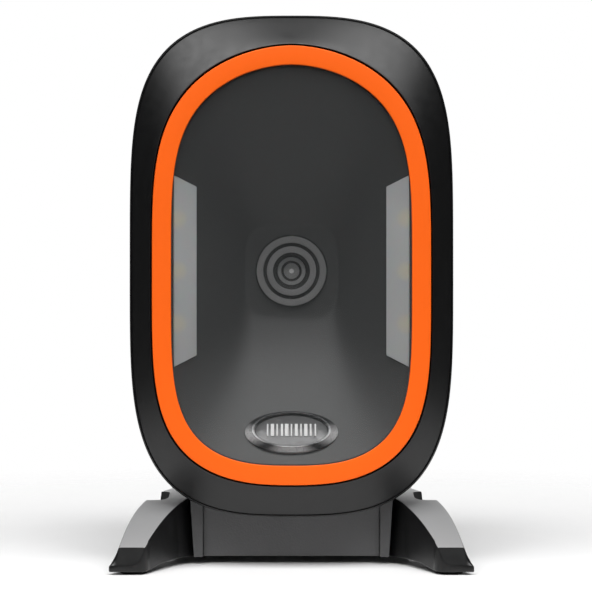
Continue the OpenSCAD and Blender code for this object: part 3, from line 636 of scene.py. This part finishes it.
def make_materials():
    """Every material by name; the names that the record lists are also its slots."""
    made = {}
    makers = ((moulded, MOULDED), (grained, GRAINED), (metal, METALS), (lens_mount, LENS_MOUNTS))
    for maker, table in makers:
        made |= {name: maker(name, *numbers) for name, numbers in table.items()}
    orange = (0.98, 0.13, 0.003)
    return made | {
        "accent_plastic": moulded("accent_plastic", orange, 0.55, 0.5, 0.004, 0.015, Specular_IOR_Level=0.25),
        "badge_face": moulded("badge_face", (0.11, 0.11, 0.112), 0.25, 0.9, 0.002, Coat_Weight=0.4),
        "badge_rim": badge_chrome(),
        "circuit_board": circuit_board(),
        "frosted_plastic": frosted_diffuser(),
        "funnel_plastic": funnel_surface(),
        "label": label_film(),
        "lens_glass": coated_lens(),
        "window_glass": smoked_window(),
    }


materials = make_materials()


def finish_piece(obj, body, slot, node, look=None):
    """Gives a piece its material and its body, and hides the CAD node that it stands for."""
    obj.data.materials.clear()
    obj.data.materials.append(materials[look or slot])
    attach(obj, body)
    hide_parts(node)


# ---- stage: camera, floor, lights ----

SENSOR_WIDTH = 36.0
CAMERA_LENS = 128.542
CAMERA_SHIFT = (0.0076, -0.0414)
CAMERA_PLACE = (0.0, -0.604, 0.08075)


def add_camera():
    """Level camera in front of the window, shifted to frame the object."""
    data = bpy.data.cameras.new("camera")
    data.sensor_width = SENSOR_WIDTH
    data.lens = CAMERA_LENS
    data.shift_x, data.shift_y = CAMERA_SHIFT
    data.clip_start = 0.02
    camera = bpy.data.objects.new("camera", data)
    camera.location = CAMERA_PLACE
    camera.rotation_euler = (math.radians(90), 0, 0)
    bpy.context.scene.collection.objects.link(camera)
    bpy.context.scene.camera = camera


def floor_material(radius):
    """Pale matt surface that fades out with distance, so that it has no edge."""
    finish = Finish("floor_surface")
    length = finish.node("ShaderNodeVectorMath", {0: finish.place}, operation="LENGTH").outputs["Value"]
    finish.feed("Alpha", finish.span(length, 1, 0, radius * 0.3, radius * 0.95))
    return finish.done(
        finish.mix(finish.noise(40), (0.86, 0.86, 0.86), (0.89, 0.89, 0.89)),
        finish.span(finish.noise(9), 0.8, 0.9),
        finish.bump(finish.noise(4), 0.01),
    )


def add_floor(radius=0.28, drop=0.02, around=96):
    """Round floor just under the feet, with its radius in metres and its drop in millimetres."""
    turn = np.linspace(0, 2 * math.pi, around, endpoint=False)
    rings = [
        np.column_stack([r * np.cos(turn), r * np.sin(turn), np.full(around, -drop)])
        for r in np.linspace(0.05, radius, 12) / MM
    ]
    floor = loft("floor", rings, caps=(True, False))
    floor.data.materials.append(floor_material(radius))


def add_softbox(name, place, size, power, target=(0, 0, 0.075)):
    """White rectangular light that faces a target, with sizes in metres and power in watts."""
    data = bpy.data.lights.new(name, "AREA")
    data.shape = "RECTANGLE"
    data.size, data.size_y = size
    data.energy = power
    light = bpy.data.objects.new(name, data)
    light.location = place
    aim = Vector(target) - Vector(place)
    light.rotation_euler = aim.to_track_quat("-Z", "Y").to_euler()
    light.visible_camera = False
    bpy.context.scene.collection.objects.link(light)


def set_world(seen=1.0, ambient=0.05):
    """White where the camera sees past the object, and dim as a light."""
    world = bpy.data.worlds.new("world")
    world.use_nodes = True
    nodes, links = world.node_tree.nodes, world.node_tree.links
    back = nodes["Background"]
    path = nodes.new("ShaderNodeLightPath")
    level = nodes.new("ShaderNodeMapRange")
    level.inputs["To Min"].default_value = ambient
    level.inputs["To Max"].default_value = seen
    links.new(path.outputs["Is Camera Ray"], level.inputs["Value"])
    links.new(level.outputs["Result"], back.inputs["Strength"])
    back.inputs["Color"].default_value = (1, 1, 1, 1)
    bpy.context.scene.world = world


def build_stage():
    add_camera()
    add_floor()
    set_world()
    add_softbox("key_middle", (0, -0.5, 0.95), (0.5, 0.5), 6)
    add_softbox("key_left", (-0.45, -0.5, 0.85), (0.5, 0.5), 4.8)
    add_softbox("key_right", (0.45, -0.5, 0.85), (0.5, 0.5), 4.8)
    add_softbox("front_fill", (0, -1.0, 0.75), (0.8, 0.5), 1.4)
    add_softbox("panel_back", (0, 1.5, 0.35), (2.4, 0.9), 14)
    bpy.context.scene.view_settings.view_transform = "Standard"


# ---- head: front ----

def build_bezel():
    """Front shell: a slope from the ring to the rim, a groove and a lip there, and a tongue behind."""
    waist = blend(RING_OUTER, RIM, 0.5)
    waist_y = FACE_Y + 3.5
    groove_y = FACE_Y + 6.45
    groove_floor_y = FACE_Y + 7.0
    lip_crest_y = FACE_Y + 6.7
    rim_y = FACE_Y + 7.2
    rim_end_y = FACE_Y + 8.6
    tongue_out = inset(HOUSING, SHELL_WALL + 0.15)
    tongue_in = inset(HOUSING, SHELL_WALL + 1.6)
    ring_seat = inset(RING_OUTER, -RING_GAP)
    ledge = inset(RING_INNER, -0.3)
    knots = [
        (ring_seat, FACE_Y, 0.35),
        (waist, waist_y, 2.6),
        (inset(RIM, 0.8), groove_y, 0.08),
        (inset(RIM, 0.64), groove_floor_y, 0.08),
        (inset(RIM, 0.38), lip_crest_y, 0.1),
        (RIM, rim_y, 0.3),
        (RIM, rim_end_y, 0.4),
        (inset(RIM, 0.6), SEAM_Y, 0.25),
        (tongue_out, SEAM_Y, 0.1),
        (tongue_out, LIP_Y, 0.3),
        (tongue_in, LIP_Y, 0.3),
        (tongue_in, FLANGE_Y - CLOSE_FIT, 0.2),
        (ledge, FLANGE_Y - CLOSE_FIT, 0.2),
        (ledge, LEDGE_Y, 0.2),
        (ring_seat, LEDGE_Y, 0.1),
    ]
    bezel = loft("bezel_shell", outline_rings(knots), band=True)
    finish_piece(bezel, "head", "bezel_plastic", "front_bezel")


def build_accent_ring():
    """Orange ring, stepped behind so that the window sits in it."""
    outer = inset(RING_OUTER, RING_GAP)
    pocket = inset(RING_INNER, -2.8)
    knots = [
        (outer, FACE_Y, 0.3),
        (RING_INNER, FACE_Y, 0.3),
        (RING_INNER, WINDOW_Y - CLOSE_FIT, 0.1),
        (pocket, WINDOW_Y - CLOSE_FIT, 0.1),
        (pocket, LEDGE_Y - CLOSE_FIT, 0.1),
        (outer, LEDGE_Y - CLOSE_FIT, 0.2),
    ]
    ring = loft("orange_ring", outline_rings(knots), band=True)
    finish_piece(ring, "head", "accent_plastic", "accent_ring")


def build_window():
    edge = inset(RING_INNER, -WINDOW_LAP)
    bevel = 0.2
    knots = [
        (inset(edge, bevel), WINDOW_Y, 0),
        (edge, WINDOW_Y + bevel, 0),
        (edge, WINDOW_BACK_Y - bevel, 0),
        (inset(edge, bevel), WINDOW_BACK_Y, 0),
    ]
    pane = loft("window_pane", outline_rings(knots, closed=False), smooth=20)
    finish_piece(pane, "head", "window_glass", "scan_window")


# ---- head: optics ----

WALL_MID = (28.7, -30.8)  # x and y of the middle of the right diffuser's face
WALL_TURN = 46.5  # how far the right side wall turns from facing sideways
ON_WALL = (
    Matrix.Translation((*WALL_MID, LENS_Z)) @ Matrix.Rotation(math.radians(WALL_TURN), 4, "Z")
    @ Matrix(((0, 0, 1, 0), (1, 0, 0, 0), (0, 1, 0, 0), (0, 0, 0, 1)))
)
DIFFUSER_HALF = 4.067  # half its width along the wall
DIFFUSER_FRONT = 25.9  # half its height at its front edge
DIFFUSER_BACK = 23.0  # and at its rear edge
DIFFUSER_DEEP = 2
DIFFUSER_FIT = 0.08


def diffuser_outline(grow=0.0):
    """Outline along the wall and up, wide at the front."""
    reach = DIFFUSER_HALF + grow
    front = DIFFUSER_FRONT + grow
    back = DIFFUSER_BACK + grow
    return [(-reach, -front), (reach, -back), (reach, back), (-reach, front)]


def build_diffusers():
    panel = prism("diffuser_panel_right", diffuser_outline(), 0, DIFFUSER_DEEP, ON_WALL, edge=0.25)
    other = mirrored_copy(panel, "diffuser_panel_left")
    finish_piece(panel, "head", "frosted_plastic", "right_diffuser")
    finish_piece(other, "head", "frosted_plastic", "left_diffuser")


FLOOR_BEND = np.array([-13.0, 51.0])  # pulls the funnel's floor down between its ends


def funnel_knots(end, mouth, count=14):
    """Rings of the funnel's inside from the lens plate to its mouth, with a curved floor."""
    start = np.array([LENS_PLATE_Y, end[2]])
    stop = np.array([FLANGE_Y, mouth[2]])
    knots = []
    for s in np.linspace(0, 1, count)[1:-1]:
        y, floor_z = start * (1 - s) ** 2 + FLOOR_BEND * 2 * s * (1 - s) + stop * s ** 2
        ring = blend(end, mouth, (y - start[0]) / (stop[0] - start[0]))
        ring[2] = floor_z
        knots.append((ring, y, 0))
    return knots


def lens_outline(half, power):
    """Outline of one half width and one corner power about the lens axis."""
    return np.array([half, LENS_Z + half, LENS_Z - half, power, power, power, power, LENS_Z])


def build_funnel():
    """Thin liner from the lens plate to the window, open at the lens, the diffusers and the badge."""
    wall = 1.8
    end = lens_outline(13, 4)
    hole = lens_outline(10, 2)
    mouth = inset(RING_INNER, 0.1)
    flange = inset(HOUSING, 4.2)
    flange_back_y = FLANGE_Y + 1.6
    inside = funnel_knots(end, mouth)
    outside = [(inset(ring, -wall), y, 0) for ring, y, _ in inside]
    knots = [
        (flange, FLANGE_Y, 0.2),
        (flange, flange_back_y, 0.2),
        (inset(RING_INNER, -wall), flange_back_y, 0.3),
        *outside[::-1],
        (inset(end, -wall), LENS_PLATE_Y + wall, 0.3),
        (hole, LENS_PLATE_Y + wall, 0.2),
        (hole, LENS_PLATE_Y, 0.3),
        (end, LENS_PLATE_Y, 1.2),
        *inside,
        (mouth, FLANGE_Y, 0.3),
    ]
    funnel = loft("funnel_liner", outline_rings(knots), band=True, smooth=40)
    through = 4
    cutters = []
    for name, mirror in (("right", Matrix()), ("left", MIRROR_X)):
        opening = diffuser_outline(DIFFUSER_FIT)
        cutters.append(prism("window_" + name, opening, -through, through + 0.4, mirror @ ON_WALL))
    badge_hole = ellipse(*(BADGE_HALF * (BADGE_RIM_IN + 0.01)))
    cutters.append(prism("badge_hole", badge_hole, -through, 0, BADGE_FRAME))
    cut(funnel, cutters, 40)
    finish_piece(funnel, "head", "funnel_plastic", "optical_funnel")


def build_lens_surround():
    """Grey ring that the barrel stands in."""
    outer_r, seat_r, bore_r = 9.8, 8.0, 7.0
    back_y = LENS_PLATE_Y + 1.8
    ring = turned("lens_surround", [
        (outer_r, LENS_FRONT_Y, 0.15), (outer_r, back_y, 0.1), (bore_r, back_y, 0.1),
        (bore_r, LENS_PLATE_Y, 0.1), (seat_r, LENS_PLATE_Y, 0.1), (seat_r, LENS_FRONT_Y, 0.12),
    ])
    finish_piece(ring, "head", "lens_ring", "lens_bezel")


def build_lens_barrel():
    """Tube with a stepped cone in its front that narrows to a small lip before the lens."""
    tube_r, mouth_r, bore_r, lip_r = 6.94, 5.2, 4.2, 3.95
    front_y, back_y = box_mm("lens_barrel")[0][1], 2.4
    lip_y, cone_y = -6.35, -6.6
    step = [(4.6, -7.6, 0.1), (4.65, -7.9, 0.1)]
    barrel = turned("lens_tube", [
        (mouth_r, front_y, 0.1), (tube_r, front_y, 0.15), (tube_r, back_y, 0.1), (bore_r, back_y, 0.1),
        (bore_r, lip_y, 0), (lip_r, lip_y, 0), (lip_r, cone_y, 0.05), *step,
    ])
    finish_piece(barrel, "head", "lens_metal", "lens_barrel")


def build_lens_retainer():
    """Small ring that locks the front lens in the barrel."""
    outer_r, front_r, back_r = 4.15, 2.88, 2.4
    front_y, back_y = -6.3, -5.4
    retainer = turned("lens_lock_ring", [
        (front_r, front_y, 0.06), (outer_r, front_y, 0.06), (outer_r, back_y, 0.05), (back_r, back_y, 0.05),
    ])
    finish_piece(retainer, "head", "lens_ring", "lens_retainer", "lens_lock")


def build_front_lens():
    """Domed glass; its axis is left open by a hair so that the profile stays a band."""
    edge_r, axis_r, dome_r = 4.1, 0.02, 9.0
    front_y, back_y = (corner[1] for corner in box_mm("front_lens"))
    radii = np.linspace(axis_r, edge_r, 24)
    dome = [(r, front_y + dome_r - math.sqrt(dome_r ** 2 - r ** 2), 0) for r in radii]
    glass = turned("lens_element", dome + [(edge_r, back_y, 0.05), (axis_r, back_y, 0)])
    finish_piece(glass, "head", "lens_glass", "front_lens")


# ---- head: badge ----

BADGE_LEAN = 50.2  # degrees that the badge's face tips forwards from facing up
BADGE_PLACE = (0, -27.6, 36.6)
BADGE_FRAME = (
    Matrix.Translation(BADGE_PLACE) @ Matrix.Rotation(math.radians(BADGE_LEAN), 4, "X")
)
BADGE_HALF = np.array([12.7, 6.9])
BADGE_RIM_OUT = 0.85  # share of the oval at which the rim's slope ends
BADGE_RIM_IN = 0.79  # and at which the rim's opening starts


def badge_rings(profile):
    """Rings of the badge's oval at each (share of its size, height)."""
    rings = []
    for share, height in profile:
        flat = ellipse(*(BADGE_HALF * share), count=128)
        rings.append(placed(np.column_stack([flat, np.full(len(flat), height)]), BADGE_FRAME))
    return rings


def build_badge_rim():
    """Chrome surround: a skirt, a slope and a narrow raised lip."""
    foot, skirt, slope_top, lip_top = -0.3, 0.35, 1.2, 1.4
    knots = [
        (1.0, foot, 0), (1.0, skirt, 0.1), (BADGE_RIM_OUT + 0.01, slope_top, 0.05),
        (BADGE_RIM_OUT, lip_top, 0.03), (BADGE_RIM_IN + 0.022, lip_top, 0.04),
        (BADGE_RIM_IN, slope_top, 0.05), (BADGE_RIM_IN, foot, 0),
    ]
    mean_half = 8
    path = rounded([((share, height), radius) for share, height, radius in knots], (mean_half, 1))
    rim = loft("badge_surround", badge_rings(path), band=True)
    finish_piece(rim, "head", "badge_rim", "badge_bezel")


def build_badge_plate():
    back, low, crown = -0.9, 0.45, 1.0
    edge = BADGE_RIM_IN - 0.01
    dome = [(share, low + (crown - low) * math.sqrt(max(0, 1 - (share / edge) ** 2)))
            for share in edge * np.sin(np.linspace(math.pi / 2, 0.03, 20))]
    plate = loft("badge_dome", badge_rings([(edge, back)] + dome), smooth=50)
    finish_piece(plate, "head", "badge_face", "badge_plate")


# ---- head: rear ----

# Depth, and how far the sides, the top and the bottom have drawn in there.
HOUSING_STEPS = [
    (-28.4, 0, 0, 0), (-10, 0.5, 1, 0.3), (4, 1.5, 3, 1.8), (13, 3.6, 7, 5),
    (19, 6.8, 12.5, 9.5), (23, 11.5, 19, 14.5), (25.2, 16.5, 27, 22), (26, 22, 36, 31),
]
CASE_SCREWS = [(x, z) for x in (-29, 29) for z in (38, 124)]
BEHIND = 30  # a depth well behind the housing


def smooth_steps(rows, between=6):
    """Rows joined by a smooth curve that passes through each of them."""
    rows = np.array(rows, float)
    padded = np.vstack([2 * rows[0] - rows[1], rows, 2 * rows[-1] - rows[-2]])
    made = []
    for k in range(1, len(padded) - 2):
        p0, p1, p2, p3 = padded[k - 1:k + 3]
        for s in np.linspace(0, 1, between, endpoint=False):
            made.append(0.5 * (2 * p1 + (p2 - p0) * s + (2 * p0 - 5 * p1 + 4 * p2 - p3) * s ** 2
                               + (3 * p1 - p0 - 3 * p2 + p3) * s ** 3))
    return made + [rows[-1]]


def housing_solid(name, wall=0.0, front=0.0, back=0.0):
    """The housing's outside, or with a wall its inside, with its front and back moved in."""
    rows = smooth_steps(HOUSING_STEPS)
    last = len(rows) - 1
    rings = []
    for k, (y, side, top, bottom) in enumerate(rows):
        depth = y + front if k == 0 else y - back * k / last
        rings.append(ring_at(inset(HOUSING, side + wall, top + wall, bottom + wall), depth))
    return loft(name, rings)


def at_height(z):
    """Local frame for an outline in x and z that is centred at a height."""
    return ALONG_Y @ Matrix.Translation((0, z, 0))


def node_outline(node, grow, radius):
    low, high = box_mm(node)
    return rounded_rectangle((high[0] - low[0]) / 2 + grow, (high[2] - low[2]) / 2 + grow, radius)


def screw_cutters():
    """Well for the head and bore for the shank of each housing screw."""
    well_r, well_floor_y, well_end_y = 3, 2, 28
    bore_r, bore_y = 1.6, -23
    wells = [rod_along_y("well", x, z, well_r, well_floor_y, well_end_y) for x, z in CASE_SCREWS]
    bores = [rod_along_y("bore", x, z, bore_r, bore_y, well_floor_y + 1) for x, z in CASE_SCREWS]
    return wells + bores


def neck_cutter(fit=0.15):
    """Slot in the bottom of the housing that the tilt neck enters."""
    half_x, half_y, middle_y = 20, 5, -5
    top = box_mm("tilt_neck")[1][2] - 2.5
    low = (-half_x - fit, middle_y - half_y - fit, 0)
    return block("neck_slot", low, (half_x + fit, middle_y + half_y + fit, top))


def sound_cutters():
    count, first_z, pitch = 5, 99, 2.8
    outline = rounded_rectangle(7, 0.6, 0.59)
    return [prism("slot", outline, 20, BEHIND, at_height(first_z + pitch * i)) for i in range(count)]


def build_housing():
    """Rear shell with screw posts inside, and its openings and the label's bed cut out."""
    shell = housing_solid("rear_shell")
    inner = housing_solid("inner", SHELL_WALL, -1, SHELL_WALL)
    post_r, post_front_y, post_back_y = 4.4, -21.8, 26
    cut(inner, [rod_along_y("post", x, z, post_r, post_front_y, post_back_y) for x, z in CASE_SCREWS])
    low, high = box_mm("cable_socket")
    socket_place = at_height((low[2] + high[2]) / 2)
    socket_hole = prism("socket_hole", node_outline("cable_socket", 0.2, 0.6), 16, BEHIND, socket_place)
    bed_y = HOUSING_BACK_Y - 0.4
    label_bed = prism("label_bed", rounded_rectangle(15, 14, 1.5), bed_y, BEHIND, at_height(76))
    cutters = [inner, *screw_cutters(), neck_cutter(), socket_hole, *sound_cutters(), label_bed]
    cut(shell, cutters, 36)
    finish_piece(shell, "head", "housing_plastic", "rear_housing")


def build_label():
    low, high = box_mm("rear_label")
    outline = node_outline("rear_label", 0, 1.4)
    place = at_height((low[2] + high[2]) / 2)
    label = prism("label_sheet", outline, low[1], high[1], place, edge=0.04)
    finish_piece(label, "head", "label", "rear_label")


# ---- stand ----

LEG_LOW, LEG_HIGH = box_mm("right_leg")
HALF_LENGTH = LEG_HIGH[1]
PAD_DROP = LEG_LOW[2]  # height of a toe's underside
TOE_OUT = LEG_HIGH[0]  # furthest x of a toe
LEG_CROWN = 18.6  # height of a leg's top in the middle
LEG_LEAN = 2.3  # how far the outer side leans in from its foot to its top
LEG_SKIRT = 1.7  # height of the upright edge at the foot of the outer side
LEG_FULLNESS = 3.6  # how soon the top levels out on its way to the crown
LEG_OUTER = 34.1  # x of the outer top edge in the middle
LEG_SMOOTH = 24  # degrees between faces that still shade as one surface
HUB_LOW_Z = 2.0
CHEEK_FOOT = 26.8  # half width over the hub's cheeks at their foot
CHEEK_SLOPE = 0.065
TOE_RADIUS = 3.5
TOE_TOP = 7.2  # height of the edge where the front of a toe ends
TOE_LEAN = 1.2  # how far that edge lies behind the tip
TOE_IN = 38  # x of a front toe's inner top edge at its tip
TOE_FOOT_OUT = 11  # how far its inner foot stands out from the cheek there
REAR_FLARE = 2.5  # how far a rear toe's inner side stands out from the cheek
REAR_SPREAD = 3.9  # how far its outer top edge stands out past LEG_OUTER at its tip
FLARE_LENGTH = 20  # about how far from a tip the inner foot reaches the cheek
TIP_EDGE = 0.35  # rounding of a toe's tip


def cheek_at(z):
    """Half width over the hub's cheeks at a height."""
    return CHEEK_FOOT + CHEEK_SLOPE * (z - HUB_LOW_Z)


def leg_top(u):
    """Height of the top of a leg: a steep toe, then a rise that levels out at the crown."""
    lip = PAD_DROP + LEG_SKIRT + 0.2
    if u < TOE_LEAN:
        return lip + (TOE_TOP - lip) * u / TOE_LEAN
    left = (HALF_LENGTH - u) / (HALF_LENGTH - TOE_LEAN)
    return TOE_TOP + (LEG_CROWN - TOE_TOP) * (1 - left ** LEG_FULLNESS)


def toe_round(u):
    """How far the round inner corner of a toe draws in at a distance from the tip."""
    return TOE_RADIUS - math.sqrt(TOE_RADIUS ** 2 - (TOE_RADIUS - u) ** 2) if u < TOE_RADIUS else 0


def share_between(u, start, stop):
    """0 up to the start, 1 from the stop on, and evenly between them."""
    return min(1, max(0, (u - start) / (stop - start)))


def leg_sides(u, front, top):
    """Inner edge at the top, inner edge at the foot, and outer top edge of a section."""
    cheek = cheek_at(top)
    to_tip = 1 - u / HALF_LENGTH
    if front:
        w_top = share_between(u, 3, 27)
        w_foot = share_between(u, 3, 3 + FLARE_LENGTH)
        inner_top = cheek + (TOE_IN - cheek) * (1 - w_top) ** 1.2
        inner_foot = CHEEK_FOOT + TOE_FOOT_OUT * (1 - w_foot ** 1.6)
        outer = LEG_OUTER + (TOE_OUT - LEG_LEAN - LEG_OUTER) * to_tip
    else:
        flare = REAR_FLARE * max(0, 1 - u / FLARE_LENGTH) ** 1.5
        inner_top = cheek + flare
        inner_foot = CHEEK_FOOT + flare
        outer = LEG_OUTER + REAR_SPREAD * to_tip ** 2
    drawn_in = toe_round(u)
    return inner_top + CLOSE_FIT + drawn_in, inner_foot + CLOSE_FIT + drawn_in, outer


def leg_section(u, front):
    """Points round the right leg at a distance from its front or rear tip."""
    top = leg_top(u)
    inner_top, inner_foot, outer = leg_sides(u, front, top)
    low_in = PAD_DROP + (HUB_LOW_Z - PAD_DROP) * share_between(u, 4, 10)
    low_out = PAD_DROP + (HUB_LOW_Z - PAD_DROP) * share_between(u, 10, 16)
    shrink = TIP_EDGE - math.sqrt(TIP_EDGE ** 2 - (TIP_EDGE - u) ** 2) if u < TIP_EDGE else 0
    outer_low = outer + LEG_LEAN - shrink
    inner_low = min(inner_foot, inner_top)
    rise = (top - low_out - LEG_SKIRT) / (LEG_CROWN - low_out)
    waist_x = blend(outer_low, outer, 0.62)
    waist_z = blend(low_out + LEG_SKIRT, top, 0.5)
    knots = [
        ((inner_low + shrink, low_in + shrink), 0.3),
        ((outer_low, low_out + shrink), 0.3),
        ((outer_low, low_out + LEG_SKIRT), 0.5),
        ((waist_x, waist_z), 2.0),
        ((outer - shrink, top), 0.45),
        ((inner_top + shrink, top), 0.45 * (1 - 0.5 * max(0, rise))),
    ]
    path = rounded(knots, np.ones(2), steps=4)
    y = u - HALF_LENGTH if front else HALF_LENGTH - u
    return [(x, y, z) for x, z in path]


def leg_stations():
    """Distances from a tip, close together where the toe is round."""
    start = [TOE_RADIUS * (1 - math.cos(a)) for a in np.radians(np.linspace(0, 90, 16))]
    extra = [TIP_EDGE * s for s in (0.15, 0.4, 0.7)] + [TOE_LEAN, TOE_LEAN + 0.05]
    rest = list(np.arange(TOE_RADIUS + 0.7, HALF_LENGTH, 0.8))
    return sorted(set(round(u, 4) for u in start + extra + rest))


def notch_cutter():
    """Slot from the outer side of a leg with rounded inner corners."""
    inner_x, outer_x, front_y, back_y, radius = 34, 60, -22, -9, 3.5
    corners = [
        ((inner_x, front_y), radius), ((outer_x, front_y), 0),
        ((outer_x, back_y), 0), ((inner_x, back_y), radius),
    ]
    return prism("notch", rounded(corners, np.ones(2), steps=10), -5, 40)


def paint_light_on_top(leg):
    """Gives the upper faces behind the toe's edge a pale grey: painted light that the tops of the legs catch.
    """
    leg.data.materials.append(materials["leg_top"])
    lowest = (TOE_TOP - 0.3) * MM
    for face in leg.data.polygons:
        if face.normal.z > 0.5 and face.center.z > lowest:
            face.material_index = 1


def build_legs():
    """Both legs, lofted from the front tip to the rear tip and notched."""
    stations = leg_stations()
    rings = [leg_section(u, True) for u in stations] + [leg_section(HALF_LENGTH, True)]
    rings += [leg_section(u, False) for u in reversed(stations)]
    right = loft("leg_right", [np.array(ring) for ring in rings], smooth=LEG_SMOOTH)
    cut(right, [notch_cutter()], LEG_SMOOTH)
    left = mirrored_copy(right, "leg_left")
    smoothen(left, LEG_SMOOTH)
    for leg, node in ((right, "right_leg"), (left, "left_leg")):
        finish_piece(leg, "stand", "leg_plastic", node)
        # Painted light on the top of each leg.
        paint_light_on_top(leg)


# ---- CAD nodes that keep their own shape ----

# Material, edge rounding and the nodes that share them.
CARRIED = [
    ("gasket_foam", 0.05, ["window_gasket"]),
    ("badge_mark", 0.05, ["badge_emblem"]),
    ("circuit_board", 0.05, ["left_lamp_board", "right_lamp_board", "sensor_board", "main_board"]),
    ("lamp", 0.1, ["left_lamps", "right_lamps"]),
    ("screw_steel", 0.06, ["lamp_board_screws"]),
    ("screw_steel", 0.08, ["sensor_board_screws", "main_board_screws", "neck_screws", "cover_screws"]),
    ("screw_steel", 0.1, ["housing_screws", "leg_screws"]),
    ("black_plastic", 0.2, ["lens_holder", "cable_socket"]),
    ("black_plastic", 0.25, ["beeper"]),
    ("chip", 0.08, ["image_sensor"]),
    ("chip", 0.1, ["decoder_chip", "memory_chip"]),
    ("ribbon", 0.03, ["sensor_ribbon"]),
    ("capacitor", 0.25, ["board_capacitors"]),
    ("contact_metal", 0.05, ["socket_contacts"]),
    ("housing_plastic", 0.3, ["tilt_neck"]),
    ("stand_plastic", 0.25, ["hub"]),
    ("panel_plastic", 0.25, ["hub_front_panel", "hub_rear_cover"]),
    ("axle_steel", 0.25, ["hinge_axle"]),
    ("axle_steel", 0.05, ["spring_washer"]),
    ("friction_pad", 0.06, ["friction_washers"]),
    ("ballast_steel", 0.4, ["ballast"]),
    ("foot_rubber", 0.2, ["foot_pads"]),
]


def dress_carried_nodes():
    """Material and softened edges for each CAD node that is shown as it is."""
    for slot, edge, nodes in CARRIED:
        for obj in (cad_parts[node] for node in nodes):
            obj.data.materials.clear()
            obj.data.materials.append(materials[slot])
            soften(obj, edge)


build_stage()
build_bezel()
build_accent_ring()
build_window()
build_diffusers()
build_funnel()
build_lens_surround()
build_lens_barrel()
build_lens_retainer()
build_front_lens()
build_badge_rim()
build_badge_plate()
build_housing()
build_label()
build_legs()
dress_carried_nodes()
